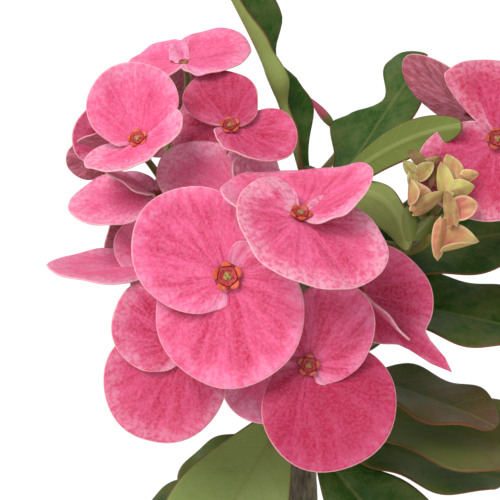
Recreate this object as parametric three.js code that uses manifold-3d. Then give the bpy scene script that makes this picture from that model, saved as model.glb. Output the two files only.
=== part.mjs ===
// Crown of thorns plant (Euphorbia milii hybrid) in a plain clay pot.
// Millimetres, +Z up. The origin is the centre of the pot's foot, and the pot stands on z = 0.
// The flower heads face the front, -Y.
import * as THREE from 'three';
import { mergeVertices } from 'three/addons/utils/BufferGeometryUtils.js';
import Module from 'manifold-3d';

const wasm = await Module();
wasm.setup();

// ---- driving dimensions -------------------------------------------------------------------
const GAP = 0.3;            // running gap left between neighbouring pieces
const POT_TOP = 62;         // outer radius of the rim
const POT_FOOT = 42;        // outer radius of the foot
const POT_HEIGHT = 104;
const POT_WALL = 5;
const POT_FLOOR = 8;
const RIM_BAND = 19;        // height of the thicker band below the mouth
const DRAIN_RADIUS = 4;     // three drain holes in the floor
const DRAIN_RING = 19;      // their distance from the pot's axis
const SOIL_TOP = 93;        // level of the soil at the wall
const SOIL_CROWN = 2.5;     // how much higher it lies at the stem
const STEM_HOLE = 14;       // depth of the hole that the stem stands in
const BRACT_THICK = 0.7;
const LEAF_THICK = 0.8;
const HEAD_TIP = 20;        // the flower head faces this many degrees above the level
const HEAD_AT = [-15, -36, 235];

// ---- small helpers ------------------------------------------------------------------------
const rad = THREE.MathUtils.degToRad;
const V = (x, y, z) => new THREE.Vector3(x, y, z);

// A seeded draw, so the thorns and crumbs always come out the same.
function seeded(seed) {
  let s = seed >>> 0;
  return () => {
    s = (s + 0x6d2b79f5) >>> 0;
    let t = Math.imul(s ^ (s >>> 15), s | 1);
    t ^= t + Math.imul(t ^ (t >>> 7), t | 61);
    return ((t ^ (t >>> 14)) >>> 0) / 4294967296;
  };
}

// Axes of a blade: column 0 runs along its midline, 1 to its left, 2 out of its upper face.
function bladeAxes(turn, lean, roll) {
  return new THREE.Matrix4().makeRotationZ(rad(turn))
    .multiply(new THREE.Matrix4().makeRotationY(-rad(lean)))
    .multiply(new THREE.Matrix4().makeRotationX(rad(roll)));
}

function toGeometry(points, faces) {
  const g = new THREE.BufferGeometry();
  g.setAttribute('position', new THREE.Float32BufferAttribute(points.flatMap((p) => [p.x, p.y, p.z]), 3));
  g.setIndex(faces);
  return g;
}

function toSolid(geometry) {
  const bare = geometry.clone();
  bare.deleteAttribute('normal');
  bare.deleteAttribute('uv');
  const g = mergeVertices(bare, 1e-4);
  return new wasm.Manifold(new wasm.Mesh({
    numProp: 3,
    vertProperties: new Float32Array(g.attributes.position.array),
    triVerts: new Uint32Array(g.index.array),
  }));
}

function fromSolid(solid) {
  const m = solid.getMesh();
  const g = new THREE.BufferGeometry();
  g.setAttribute('position', new THREE.Float32BufferAttribute(m.vertProperties, 3));
  g.setIndex(Array.from(m.triVerts));
  return g;
}

function fuse(geometries) {
  return geometries.map(toSolid).reduce((a, b) => a.add(b));
}

// A thin blade as a closed shell: point(i, j) gives its upper face on an nu by nv grid and the
// lower face lies one thickness behind it. Both faces are split along the same diagonals.
function blade(point, nu, nv, thick) {
  const top = [];
  for (let i = 0; i <= nu; i++) for (let j = 0; j <= nv; j++) top.push(point(i / nu, j / nv));
  const at = (i, j) => i * (nv + 1) + j;
  const e = 1e-3;
  const low = [];
  for (let i = 0; i <= nu; i++) {
    for (let j = 0; j <= nv; j++) {
      const u = i / nu;
      const v = j / nv;
      const du = point(Math.min(1, u + e), v).sub(point(Math.max(0, u - e), v));
      const dv = point(u, Math.min(1, v + e)).sub(point(u, Math.max(0, v - e)));
      low.push(top[at(i, j)].clone().addScaledVector(du.cross(dv).normalize(), -thick));
    }
  }
  const n = top.length;
  const faces = [];
  for (let i = 0; i < nu; i++) {
    for (let j = 0; j < nv; j++) {
      const [a, b, c, d] = [at(i, j), at(i + 1, j), at(i + 1, j + 1), at(i, j + 1)];
      faces.push(a, b, c, a, c, d, n + a, n + c, n + b, n + a, n + d, n + c);
    }
  }
  const rim = [];
  for (let j = 0; j < nv; j++) rim.push(at(0, j));
  for (let i = 0; i < nu; i++) rim.push(at(i, nv));
  for (let j = nv; j > 0; j--) rim.push(at(nu, j));
  for (let i = nu; i > 0; i--) rim.push(at(i, 0));
  rim.forEach((a, k) => {
    const b = rim[(k + 1) % rim.length];
    faces.push(a, b, n + b, a, n + b, n + a);
  });
  return toGeometry([...top, ...low], faces);
}

// ---- bracts and blooms --------------------------------------------------------------------
// A bract is a round blade whose foot sits off its centre, like a lily pad, with a notch of
// 'notch' degrees behind the foot. It reaches 'reach' beyond the foot and 'heel' behind it.
// 'cup' dishes it, 'bend' turns its end up, 'arch' lifts both sides, 'skew' shifts it left.
function bractPoint(b, u, v) {
  const { reach, width, heel, skew = 0, cup = 2, bend = 0, arch = 0 } = b;
  const { ripple = 0.4, waves = 5, notch = 50, foot = 1.3 } = b;
  const half = width / 2;
  const a = (reach + heel) / 2;
  const c = (reach - heel) / 2;
  const phi = rad(notch / 2 - 180 + (360 - notch) * v);
  const cx = Math.cos(phi);
  const sx = Math.sin(phi);
  const A = (cx / a) ** 2 + (sx / half) ** 2;
  const B = -2 * ((c * cx) / a ** 2 + (skew * sx) / half ** 2);
  const C = (c / a) ** 2 + (skew / half) ** 2 - 1;
  const rho = (-B + Math.sqrt(Math.max(B * B - 4 * A * C, 0))) / (2 * A);
  const r = foot + (rho - foot) * u;
  const x = r * cx;
  const y = r * sx;
  const h = cup * (r / reach) ** 2 + bend * Math.max(x / reach, 0) ** 2 + arch * (y / half) ** 2
    + ripple * u ** 3 * Math.sin(waves * phi);
  return V(x, y, h).applyMatrix4(bladeAxes(b.turn, b.lean, b.roll));
}

// The axis a bloom faces along: its own 'axis', or the mean of its bracts' upward directions.
function bloomAxis({ axis, bracts }) {
  const n = axis ? V(...axis) : V(0, 0, 0);
  for (const b of axis ? [] : bracts) n.add(V(0, 0, 1).transformDirection(bladeAxes(b.turn, b.lean, b.roll)));
  return n.normalize();
}

// The cyathium: a small cup on a short neck with a ring of five fat nectar glands round a
// sunken eye. Its wall is a profile turned about the axis, swollen five times on the way round.
const CUP_PROFILE = [[1.3, -2], [3.3, 1.4], [2.5, 2.4]];
function cyathium(axis, size, sides) {
  const pts = [V(0, 0, -2)];
  CUP_PROFILE.forEach(([r, z], k) => {
    const swell = [0, 0.13, 0.1][k];
    for (let j = 0; j < sides; j++) {
      const t = (j / sides) * Math.PI * 2;
      const q = r * (1 + swell * Math.cos(5 * t));
      pts.push(V(q * Math.cos(t), q * Math.sin(t), z));
    }
  });
  pts.push(V(0, 0, 1.2));
  const faces = [];
  for (let j = 0; j < sides; j++) {
    const n = (j + 1) % sides;
    faces.push(0, 1 + n, 1 + j);
    for (let k = 0; k < CUP_PROFILE.length - 1; k++) {
      const a = 1 + k * sides;
      faces.push(a + j, a + n, a + sides + n, a + j, a + sides + n, a + sides + j);
    }
    const a = 1 + (CUP_PROFILE.length - 1) * sides;
    faces.push(a + j, a + n, pts.length - 1);
  }
  const q = new THREE.Quaternion().setFromUnitVectors(V(0, 0, 1), axis);
  return toGeometry(pts.map((p) => p.multiplyScalar(size).applyQuaternion(q)), faces);
}

function bloomSolid(row) {
  const n = row.fine ?? [2, 8];
  const blades = row.bracts.map((b) => blade((u, v) => bractPoint(b, u, v), n[0], n[1], BRACT_THICK));
  return fuse([cyathium(bloomAxis(row), row.eye ?? 1, row.sides ?? 5), ...blades]);
}

// ---- leaves -------------------------------------------------------------------------------
// A leaf's midrib starts along its axis, droops by 'arch' and swings left by 'sweep' degrees
// towards the tip. Each half rises from it at 'fold' degrees and rolls on by 'curl' degrees
// (right half, left half). The outline is widest at 'belly', and 'wedge' draws its foot in.
function leafHalfWidth(u, p) {
  const { width, belly = 0.62, base = 0.12, tip = 1, wedge = 1.3 } = p;
  const rise = u < belly ? base + (1 - base) * Math.sin((Math.PI / 2) * (u / belly)) ** wedge : 1;
  const z = Math.min(1, Math.max(0, (u - belly) / (1 - belly)));
  return Math.max(0.5, (width / 2) * rise * Math.sqrt(Math.max(0, 1 - z ** (2.2 * tip))));
}

function leafRib(p) {
  const steps = 24;
  const { arch = 10, sweep = 0 } = p;
  const axes = bladeAxes(p.turn, p.lean, p.roll);
  const [d, s, n] = [V(1, 0, 0), V(0, 1, 0), V(0, 0, 1)].map((a) => a.transformDirection(axes));
  const rib = [];
  const at = V(0, 0, 0);
  for (let i = 0; i <= steps; i++) {
    const a = -rad(arch) * (i / steps);
    const w = rad(sweep) * (i / steps);
    const along = d.clone().multiplyScalar(Math.cos(w)).addScaledVector(s, Math.sin(w))
      .multiplyScalar(Math.cos(a)).addScaledVector(n, Math.sin(a));
    const side = d.clone().multiplyScalar(-Math.sin(w)).addScaledVector(s, Math.cos(w));
    if (i > 0) at.addScaledVector(rib[i - 1].along.clone().add(along), p.length / steps / 2);
    rib.push({ at: at.clone(), along, side, up: along.clone().cross(side) });
  }
  return rib;
}

function leafPoint(p, rib, u, v) {
  const { width, fold = 10, curl = [0, 0], wave = 1, waves = 2.5, phase = 0 } = p;
  const f = Math.min(u * (rib.length - 1), rib.length - 1 - 1e-9);
  const i = Math.floor(f);
  const mix = (key) => rib[i][key].clone().lerp(rib[i + 1][key], f - i);
  const half = leafHalfWidth(u, p);
  const t = 2 * v - 1;
  const g = Math.abs(t);
  const k = rad(t < 0 ? curl[0] : curl[1]);
  const a = rad(fold);
  const out = Math.abs(k) < 1e-6 ? g * Math.cos(a) : (Math.sin(a + k * g) - Math.sin(a)) / k;
  const up = Math.abs(k) < 1e-6 ? g * Math.sin(a) : (Math.cos(a) - Math.cos(a + k * g)) / k;
  const ruffle = wave * g * g * Math.sin(2 * Math.PI * waves * u + phase + (t < 0 ? 0 : 1.3))
    * Math.min(1, half / (width * 0.3));
  return mix('at').addScaledVector(mix('side'), Math.sign(t) * out * half)
    .addScaledVector(mix('up'), up * half + ruffle);
}

function leafGeometry(p) {
  const rib = leafRib(p);
  const [nu, nv] = p.fine ?? [6, 4];
  return blade((u, v) => leafPoint(p, rib, u * 0.99, v), nu, nv, LEAF_THICK);
}

// ---- stems and stalks ---------------------------------------------------------------------
// A closed tapering limb along a smooth curve through its points, with a radius at each end.
function limb(points, r0, r1, sides, rings) {
  const curve = new THREE.CatmullRomCurve3(points.map((p) => V(...p)), false, 'centripetal');
  const frames = curve.computeFrenetFrames(rings, false);
  const pts = [curve.getPointAt(0)];
  for (let i = 0; i <= rings; i++) {
    const c = curve.getPointAt(i / rings);
    const r = r0 + (r1 - r0) * (i / rings);
    for (let j = 0; j < sides; j++) {
      const t = (j / sides) * Math.PI * 2;
      pts.push(c.clone().addScaledVector(frames.normals[i], r * Math.cos(t))
        .addScaledVector(frames.binormals[i], r * Math.sin(t)));
    }
  }
  pts.push(curve.getPointAt(1));
  const faces = [];
  for (let j = 0; j < sides; j++) {
    const n = (j + 1) % sides;
    faces.push(0, 1 + n, 1 + j);
    for (let i = 0; i < rings; i++) {
      const a = 1 + i * sides;
      faces.push(a + j, a + n, a + sides + n, a + j, a + sides + n, a + sides + j);
    }
    faces.push(1 + rings * sides + j, 1 + rings * sides + n, pts.length - 1);
  }
  return toGeometry(pts, faces);
}

// Thorns stand out of a limb in a spiral, each with its root sunk in the wood.
function thorns(points, r0, r1, from, to, count, seed, blocked) {
  const draw = seeded(seed);
  const curve = new THREE.CatmullRomCurve3(points.map((p) => V(...p)), false, 'centripetal');
  const out = [];
  for (let k = 0; k < count; k++) {
    const t = from + ((to - from) * (k + 0.5)) / count;
    const c = curve.getPointAt(t);
    const along = curve.getTangentAt(t);
    const ring = rad(k * 137.5 + 30 * (draw() - 0.5));
    const side = V(Math.cos(ring), Math.sin(ring), 0.25 + 0.3 * draw());
    side.addScaledVector(along, -side.dot(along) * 0.6).normalize();
    const long = 7 + 4 * draw();
    const r = r0 + (r1 - r0) * t;
    const g = new THREE.ConeGeometry(0.75, long + 1.2, 4);
    g.rotateX(Math.PI / 2);
    g.translate(0, 0, (long + 1.2) / 2 - 1.2);
    g.applyQuaternion(new THREE.Quaternion().setFromUnitVectors(V(0, 0, 1), side));
    const root = c.clone().addScaledVector(side, r);
    g.translate(root.x, root.y, root.z);
    if (!blocked(root.z, ring)) out.push(g);
  }
  return out;
}

// ---- the plant's layout -------------------------------------------------------------------
// Blooms of the main head, in the head's own frame: x to the right, y up along its face and
// z out of it. 'turn' is a bract's bearing on the face, 'lean' lifts its end off the face and
// 'roll' its left side.
const HEAD_BLOOMS = [
  { name: 'bloom_01', at: [-5.5, -6.5, 0], sides: 10, fine: [2, 12], bracts: [
    { turn: 140, lean: 4, roll: 7, reach: 26, width: 31, heel: 4, cup: 2 },
    { turn: -86, lean: 4, roll: 7, reach: 27, width: 37, heel: 9, cup: 1 }] },
  { name: 'bloom_02', at: [12, 8, 9], sides: 10, fine: [2, 12], bracts: [
    { turn: -104, lean: 42, roll: -12, reach: 20, width: 37, heel: 12, skew: 3.5, cup: 1, bend: -2 },
    { turn: 92, lean: -62, roll: -4, reach: 24, width: 37, heel: 6, cup: 1, arch: 5 }] },
  { name: 'bloom_03', at: [14.5, -28.5, -4], sides: 10, fine: [2, 11], bracts: [
    { turn: 68, lean: 0, roll: -10, reach: 22.5, width: 22, heel: 2.5, skew: -1.5, cup: 2 },
    { turn: -63, lean: 10, roll: -8, reach: 27, width: 34, heel: 4.5, cup: 1 }] },
  { name: 'bloom_04', at: [-28, 27.5, -12], sides: 10, fine: [2, 10], eye: 0.85, bracts: [
    { turn: 100, lean: 0, roll: 8, reach: 19.5, width: 23, heel: 2.5, cup: 3 },
    { turn: -70, lean: 60, roll: 8, reach: 17, width: 26, heel: 4, skew: -2.7, cup: 3 }] },
  { name: 'bloom_05', at: [-5, 31, -14], eye: 0.85, bracts: [
    { turn: 115, lean: -35, roll: 0, reach: 18, width: 20, heel: 3, cup: 2 },
    { turn: -30, lean: 0, roll: -42, reach: 16.3, width: 20, heel: 4.2, skew: 1.7, cup: 2, arch: 2 }] },
  { name: 'bloom_06', at: [-17, 48.5, -24], eye: 0.8, bracts: [
    { turn: 20, lean: -30, roll: -50, reach: 19, width: 20, heel: 2, notch: 90 },
    { turn: 185, lean: -20, roll: 55, reach: 14, width: 18, heel: 2, notch: 90 }] },
  { name: 'bloom_07', at: [-24.5, 14.5, -18.5], eye: 0.8, axis: [-0.25, 0.55, 0.8], bracts: [
    { turn: 190, lean: -10, roll: 50, reach: 22, width: 21, heel: 2, notch: 90 },
    { turn: 152, lean: 5, roll: -98, reach: 17, width: 15, heel: 2, cup: 0, notch: 120 }] },
  { name: 'bloom_08', at: [-25, -4, -23], eye: 0.8, axis: [-0.3, 0.5, 0.8], bracts: [
    { turn: 183, lean: 0, roll: 72, reach: 27, width: 26, heel: 2, notch: 100 },
    { turn: 108, lean: -10, roll: 0, reach: 13, width: 17, heel: 2, notch: 100 }] },
  { name: 'bloom_09', at: [-16.5, -24, -14], fine: [2, 10], eye: 0.9, bracts: [
    { turn: 140, lean: -5, roll: 5, reach: 20, width: 25, heel: 3 },
    { turn: -118, lean: -5, roll: 5, reach: 26, width: 31, heel: 5 }] },
  { name: 'bloom_10', at: [-2.5, 15.5, -16], eye: 0.8, bracts: [
    { turn: 165, lean: -8, roll: 22, reach: 22, width: 20.5, heel: 4, notch: 90 },
    { turn: 30, lean: -40, roll: 10, reach: 14, width: 16, heel: 3, notch: 150 }] },
  { name: 'bloom_11', at: [3, -25.5, -20], fine: [2, 8], eye: 0.8, axis: [0, -0.2, 1], bracts: [
    { turn: -85, lean: 0, roll: 0, reach: 19, width: 22, heel: 4, notch: 120 },
    { turn: 95, lean: 35, roll: 0, reach: 12, width: 12, heel: 2, notch: 160 }] },
  { name: 'bloom_12', at: [26.5, -10.5, -16], eye: 0.8, axis: [0.3, -0.2, 0.9], bracts: [
    { turn: -36, lean: -5, roll: 0, reach: 23, width: 23, heel: 3, skew: 3.5, cup: 2 },
    { turn: -43, lean: 10, roll: 84, reach: 18, width: 14, heel: 1.5, cup: 0, ripple: 0.2, notch: 200 }] },
  { name: 'bloom_13', at: [-11.5, 32, -27], fine: [2, 7], eye: 0.7, axis: [-0.3, 0.3, 1], bracts: [
    { turn: -108, lean: -4, roll: 0, reach: 14, width: 13, heel: 3, notch: 120 },
    { turn: 65, lean: -10, roll: 0, reach: 9, width: 12, heel: 2, notch: 160 }] },
  { name: 'bloom_14', at: [-35.5, 28.5, -26], fine: [2, 7], eye: 0.7, axis: [-0.8, 0.2, 0.5], bracts: [
    { turn: 222, lean: -10, roll: 150, reach: 14, width: 13, heel: 1.5, notch: 190 },
    { turn: 150, lean: 0, roll: 0, reach: 10, width: 17, heel: 1.5, notch: 160 }] },
  { name: 'bloom_15', at: [-12, 20, -58], fine: [2, 7], bracts: [
    { turn: 80, lean: 20, roll: 180, reach: 20, width: 28, heel: 4, notch: 110 },
    { turn: -100, lean: 8, roll: 180, reach: 21, width: 30, heel: 5, notch: 110 }] },
  { name: 'bloom_16', at: [-23, 1, -47], fine: [2, 7], bracts: [
    { turn: 130, lean: 40, roll: 190, reach: 19, width: 27, heel: 4, notch: 110 },
    { turn: -60, lean: 10, roll: 185, reach: 20, width: 28, heel: 4, notch: 110 }] },
  { name: 'bloom_17', at: [-8, -20, -50], fine: [2, 7], eye: 0.9, bracts: [
    { turn: -70, lean: 25, roll: 180, reach: 20, width: 27, heel: 4, notch: 110 },
    { turn: 150, lean: 5, roll: 180, reach: 17, width: 24, heel: 3, notch: 110 }] },
  { name: 'bloom_18', at: [-22, 42, -46], fine: [2, 7], eye: 0.9, bracts: [
    { turn: 60, lean: 45, roll: 180, reach: 18, width: 26, heel: 4, notch: 110 },
    { turn: -130, lean: 5, roll: 180, reach: 18, width: 25, heel: 3, notch: 110 }] },
];

// Blooms of the side branch's head, in the same frame.
const SIDE_BLOOMS = [
  { name: 'bloom_19', at: [61.5, 27.5, -10], sides: 10, fine: [2, 10], bracts: [
    { turn: -100, lean: 5, roll: 5, reach: 21, width: 29, heel: 5 },
    { turn: 115, lean: -10, roll: 30, reach: 20, width: 24, heel: 4 }] },
  { name: 'bloom_20', at: [57, 32, -24], fine: [2, 7], eye: 0.8, axis: [-0.3, 0.8, -0.3], bracts: [
    { turn: 143, lean: -10, roll: 140, reach: 23, width: 17, heel: 2, notch: 150 },
    { turn: 40, lean: -20, roll: 160, reach: 15, width: 20, heel: 2, notch: 200 }] },
  { name: 'bloom_21', at: [67, 33, -46], fine: [2, 7], eye: 0.9, bracts: [
    { turn: 70, lean: 25, roll: 180, reach: 18, width: 26, heel: 4, notch: 110 },
    { turn: -75, lean: 0, roll: 180, reach: 17, width: 25, heel: 4, notch: 110 }] },
];

// Flower stalks fork: a foot on the wood (plant frame), then knots in the head's frame, the
// first one on the foot, with the blooms that each of them carries.
const CYMES = {
  stalks_main: {
    foot: [[-4.1, -1.1, 208], [-8, -2.4, 211]],
    boughs: [
      { knot: [-5, -2, -37], blooms: ['bloom_16', 'bloom_08', 'bloom_15'] },
      { knot: [3, -4, -27], blooms: ['bloom_01', 'bloom_02', 'bloom_03', 'bloom_12'] },
      { knot: [-2, -17, -33], blooms: ['bloom_09', 'bloom_11', 'bloom_17'] },
      { knot: [-3, 19, -36], blooms: ['bloom_05', 'bloom_10'] },
      { knot: [-20, 14, -37],
        blooms: ['bloom_04', 'bloom_06', 'bloom_07', 'bloom_13', 'bloom_14', 'bloom_18'] },
    ],
  },
  stalks_side: {
    foot: [[37.5, 13, 238.6], [41, 12.5, 242]],
    boughs: [
      { knot: [58, 22, -38], blooms: ['bloom_19', 'bloom_20', 'bloom_21'] },
    ],
  },
};

// Leaves by the front of the plant, in the head's frame, each standing on the stem.
const FRONT_LEAVES = [
  { name: 'leaf_01', at: [13.7, 21, -31], turn: 104, lean: 5, roll: 40, length: 56, width: 22,
    arch: 0, sweep: 24, fold: 15, curl: [0, 135], wave: 3.2, waves: 2, phase: -1.8, base: 0.3, fine: [9, 6] },
  { name: 'leaf_02', at: [18.2, 8, -37.7], turn: 60, lean: -11, roll: -46, length: 54, width: 24,
    arch: 5, sweep: -4, fold: 8, wave: 4.5, waves: 1.8, phase: 2.6, belly: 0.5, tip: 0.6, wedge: 1.8,
    fine: [8, 4] },
  { name: 'leaf_03', at: [18.5, 15, -32.2], turn: 29, lean: 21, roll: 142, length: 39, width: 18,
    arch: 0, sweep: 10, fold: 8, waves: 1, base: 0.3, tip: 0.8 },
  { name: 'leaf_04', at: [18.1, 9.5, -32.9], turn: 0, lean: 22, roll: 150, length: 30, width: 20,
    arch: 0, sweep: 60, fold: 15, tip: 0.7, belly: 0.5 },
  { name: 'leaf_05', at: [18.6, -5, -40.2], turn: 14, lean: 15, roll: -45, length: 60, width: 28,
    arch: 15, sweep: 5, wave: 1.5 },
  { name: 'leaf_06', at: [18.7, -12.5, -43], turn: -2, lean: 15, roll: -56, length: 60, width: 28,
    arch: 15, sweep: -5, wave: 1.5 },
  { name: 'leaf_07', at: [19, -32, -49.8], turn: -8, lean: 25, roll: -68, length: 52, width: 25,
    arch: 15, sweep: -7, fold: 6, wave: 1.5 },
  { name: 'leaf_08', at: [19, -41, -54], turn: -8, lean: 22, roll: -50, length: 62, width: 29,
    arch: 10, sweep: -5, wave: 1.5 },
  { name: 'leaf_09', at: [19, -49.5, -57], turn: -14, lean: 20, roll: -55, length: 52, width: 27,
    arch: 10, sweep: 14, wave: 1.5 },
  { name: 'leaf_10', at: [18.1, -54, -54.9], turn: -48, lean: 30, roll: -5, length: 60, width: 30,
    arch: 10, sweep: -5, wave: 1.5 },
  { name: 'leaf_11', at: [11.3, -41, -49.8], turn: -121, lean: 15, roll: 5, length: 63, width: 32,
    arch: 10, fold: 8 },
  { name: 'leaf_12', at: [10.1, -50, -57], turn: -156, lean: 5, roll: 25, length: 36, width: 20,
    arch: 10, sweep: 10 },
];

// Leaves behind and below, by their height on the stem. 'turn' is the bearing round the plant
// from +X and 'lean' the rise from level.
const STEM_LEAVES = [
  { name: 'leaf_13', z: 222, turn: 85, lean: 5, roll: 0, length: 58, width: 27, arch: 25, fine: [5, 4] },
  { name: 'leaf_14', z: 184, turn: 55, lean: 0, roll: 10, length: 60, width: 28, arch: 25, fine: [5, 4] },
  { name: 'leaf_15', z: 206, turn: 105, lean: 0, roll: -5, length: 56, width: 27, arch: 20, fine: [5, 4] },
  { name: 'leaf_16', z: 196, turn: 132, lean: -5, roll: 0, length: 62, width: 29, arch: 20, fine: [5, 4] },
  { name: 'leaf_17', z: 187, turn: 160, lean: -5, roll: 10, length: 52, width: 26, arch: 20, fine: [5, 4] },
  { name: 'leaf_18', z: 176, turn: 95, lean: -10, roll: 0, length: 58, width: 28, arch: 20, fine: [5, 4] },
  { name: 'leaf_19', z: 168, turn: 45, lean: -8, roll: 5, length: 58, width: 28, arch: 20, fine: [5, 4] },
  { name: 'leaf_20', z: 152, turn: 160, lean: -12, roll: 0, length: 46, width: 25, arch: 15, fine: [5, 4] },
  { name: 'leaf_21', z: 134, turn: 230, lean: 5, roll: 5, length: 46, width: 24, arch: 20, fine: [5, 4] },
  { name: 'leaf_22', z: 127, turn: 335, lean: 5, roll: -5, length: 48, width: 25, arch: 20, fine: [5, 4] },
];

// The young head: small half-open flowers on one green stalk. Each is two little hooded
// bracts round a tiny cup. The path and the flowers are in the head's frame.
const YOUNG_STALK = [[18.8, 1.8, -38.4], [28, 1.8, -37], [36, 1, -32.5], [41.5, 0, -28], [45, 3, -19],
  [44.3, 7, -10]];
const YOUNG_FLOWERS = [
  { at: [42.5, 18, -6], axis: [-0.3, 0.9, 0.3], bracts: [
    { turn: 70, lean: 10, roll: 20, reach: 8, width: 8, heel: 1 },
    { turn: 200, lean: 20, roll: 20, reach: 6, width: 7, heel: 1 }] },
  { at: [43, 11, -4], axis: [-0.1, 0.8, 0.5], bracts: [
    { turn: 62, lean: 5, roll: 0, reach: 9, width: 8.5, heel: 1, skew: 1 },
    { turn: 135, lean: 25, roll: 50, reach: 8, width: 7, heel: 1 }] },
  { at: [50, 14, -5], axis: [0.3, 0.8, 0.4], bracts: [
    { turn: 105, lean: 0, roll: 10, reach: 11, width: 8, heel: 1 },
    { turn: 50, lean: 5, roll: -20, reach: 9, width: 8, heel: 1 }] },
  { at: [51, 10.5, -3.5], axis: [0.5, 0.6, 0.6], bracts: [
    { turn: 12, lean: 5, roll: 40, reach: 8, width: 8, heel: 1 },
    { turn: 95, lean: 0, roll: 60, reach: 8, width: 6, heel: 1 }] },
  { at: [48, 6, -2.5], axis: [0.5, 0.3, 0.8], bracts: [
    { turn: 20, lean: 0, roll: -15, reach: 9, width: 9, heel: 1 },
    { turn: 150, lean: 20, roll: 60, reach: 7, width: 7, heel: 1 }] },
  { at: [46.5, 1, -3], axis: [0.3, 0.3, 0.9], bracts: [
    { turn: 5, lean: 5, roll: 0, reach: 10.5, width: 9, heel: 1, skew: 0.5 },
    { turn: 215, lean: 10, roll: -50, reach: 7, width: 9, heel: 1 }] },
];

// A closed bud on its own stalk behind the second leaf, in the head's frame.
const LONE_BUD_STALK = [[15.2, 15.2, -36.8], [17, 18.5, -45], [24, 27, -53], [21.8, 35, -53]];
const LONE_BUD = { length: 9, radius: 2.3, to: [16.6, 41, -52] };

const STEM_PATH = [[0, 0, SOIL_TOP - STEM_HOLE + 1], [1, 0.5, 120], [-0.5, 0, 160], [0, 0, 200], [0, 0.5, 243]];
const STEM_RADII = [4.8, 2.9];
const BRANCH_PATH = [[0, 0.5, 190], [6, 6, 202], [19, 13, 219], [37, 13, 238]];
const BRANCH_RADII = [2.7, 2.2];

// ---- materials ----------------------------------------------------------------------------
const paint = (color, roughness) => new THREE.MeshStandardMaterial({ color, roughness, metalness: 0 });
const CLAY = paint(0xb5684a, 0.85);
const SOIL = paint(0x3a2a20, 0.95);
const WOOD = paint(0x6f6557, 0.8);
const STALK = paint(0x8d9a4a, 0.5);
const BRACT = paint(0xdf4c78, 0.5);
const BUD = paint(0xd8b06a, 0.5);
const LEAF = paint(0x3f6b2c, 0.4);

const plant = new THREE.Group();
const head = new THREE.Group();
head.position.set(...HEAD_AT);
head.rotation.x = rad(90 - HEAD_TIP);
plant.add(head);
head.updateMatrixWorld(true);

function put(parent, name, geometry, material, at = [0, 0, 0]) {
  geometry.computeVertexNormals();
  const mesh = new THREE.Mesh(geometry, material);
  mesh.name = name;
  mesh.position.set(...at);
  parent.add(mesh);
  return mesh;
}

// ---- pot ----------------------------------------------------------------------------------
const wallAt = (z) => POT_FOOT + ((POT_TOP - 4 - POT_FOOT) * z) / POT_HEIGHT;
const potProfile = [
  [0, 0], [POT_FOOT - 1.5, 0], [POT_FOOT, 1.5],
  [wallAt(POT_HEIGHT - RIM_BAND), POT_HEIGHT - RIM_BAND],
  [POT_TOP - 1.2, POT_HEIGHT - RIM_BAND], [POT_TOP, POT_HEIGHT - RIM_BAND + 1.2],
  [POT_TOP, POT_HEIGHT - 2], [POT_TOP - 2, POT_HEIGHT],
  [POT_TOP - 5, POT_HEIGHT], [POT_TOP - 6.5, POT_HEIGHT - 2],
  [wallAt(POT_FLOOR) - POT_WALL, POT_FLOOR], [0, POT_FLOOR],
].map(([r, z]) => new THREE.Vector2(r, z));
const potGeometry = new THREE.LatheGeometry(potProfile, 24);
potGeometry.rotateX(Math.PI / 2);
let pot = toSolid(potGeometry);
for (let k = 0; k < 3; k++) {
  const hole = new THREE.CylinderGeometry(DRAIN_RADIUS, DRAIN_RADIUS, POT_FLOOR + 4, 12);
  hole.rotateX(Math.PI / 2);
  const t = rad(90 + 120 * k);
  hole.translate(DRAIN_RING * Math.cos(t), DRAIN_RING * Math.sin(t), POT_FLOOR / 2);
  pot = pot.subtract(toSolid(hole));
}
put(plant, 'pot', fromSolid(pot), CLAY);

// ---- soil: a filled round body with a crowned, crumbly top and the stem's hole ---------------
const innerWallAt = (z) => {
  const low = wallAt(POT_FLOOR) - POT_WALL;
  return low + ((POT_TOP - 6.5 - low) * (z - POT_FLOOR)) / (POT_HEIGHT - 2 - POT_FLOOR);
};
const soilDraw = seeded(7);
const soilPts = [V(0, 0, POT_FLOOR + GAP)];
const soilSides = 24;
const soilRings = [
  [POT_FLOOR + GAP, 1, true], [SOIL_TOP, 1, true], [SOIL_TOP, 0.74], [SOIL_TOP, 0.46], [SOIL_TOP, 0.2],
];
soilRings.forEach(([z, f, wall]) => {
  const edge = (innerWallAt(z) - GAP - 0.35) * f;
  for (let j = 0; j < soilSides; j++) {
    const t = (j / soilSides) * Math.PI * 2;
    const lift = wall ? 0 : SOIL_CROWN * (1 - f * f) + 1.6 * (soilDraw() - 0.5);
    soilPts.push(V(edge * Math.cos(t), edge * Math.sin(t), z + lift));
  }
});
soilPts.push(V(0, 0, SOIL_TOP + SOIL_CROWN));
const soilFaces = [];
for (let j = 0; j < soilSides; j++) {
  const n = (j + 1) % soilSides;
  soilFaces.push(0, 1 + n, 1 + j);
  for (let k = 0; k < soilRings.length - 1; k++) {
    const a = 1 + k * soilSides;
    soilFaces.push(a + j, a + n, a + soilSides + n, a + j, a + soilSides + n, a + soilSides + j);
  }
  const a = 1 + (soilRings.length - 1) * soilSides;
  soilFaces.push(a + j, a + n, soilPts.length - 1);
}
const stemHole = new THREE.CylinderGeometry(STEM_RADII[0] + GAP + 0.2, STEM_RADII[0] + GAP + 0.2, 40, 12);
stemHole.rotateX(Math.PI / 2);
stemHole.translate(0.2, 0.1, SOIL_TOP - STEM_HOLE + 20);
put(plant, 'soil', fromSolid(toSolid(toGeometry(soilPts, soilFaces)).subtract(toSolid(stemHole))), SOIL);

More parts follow.
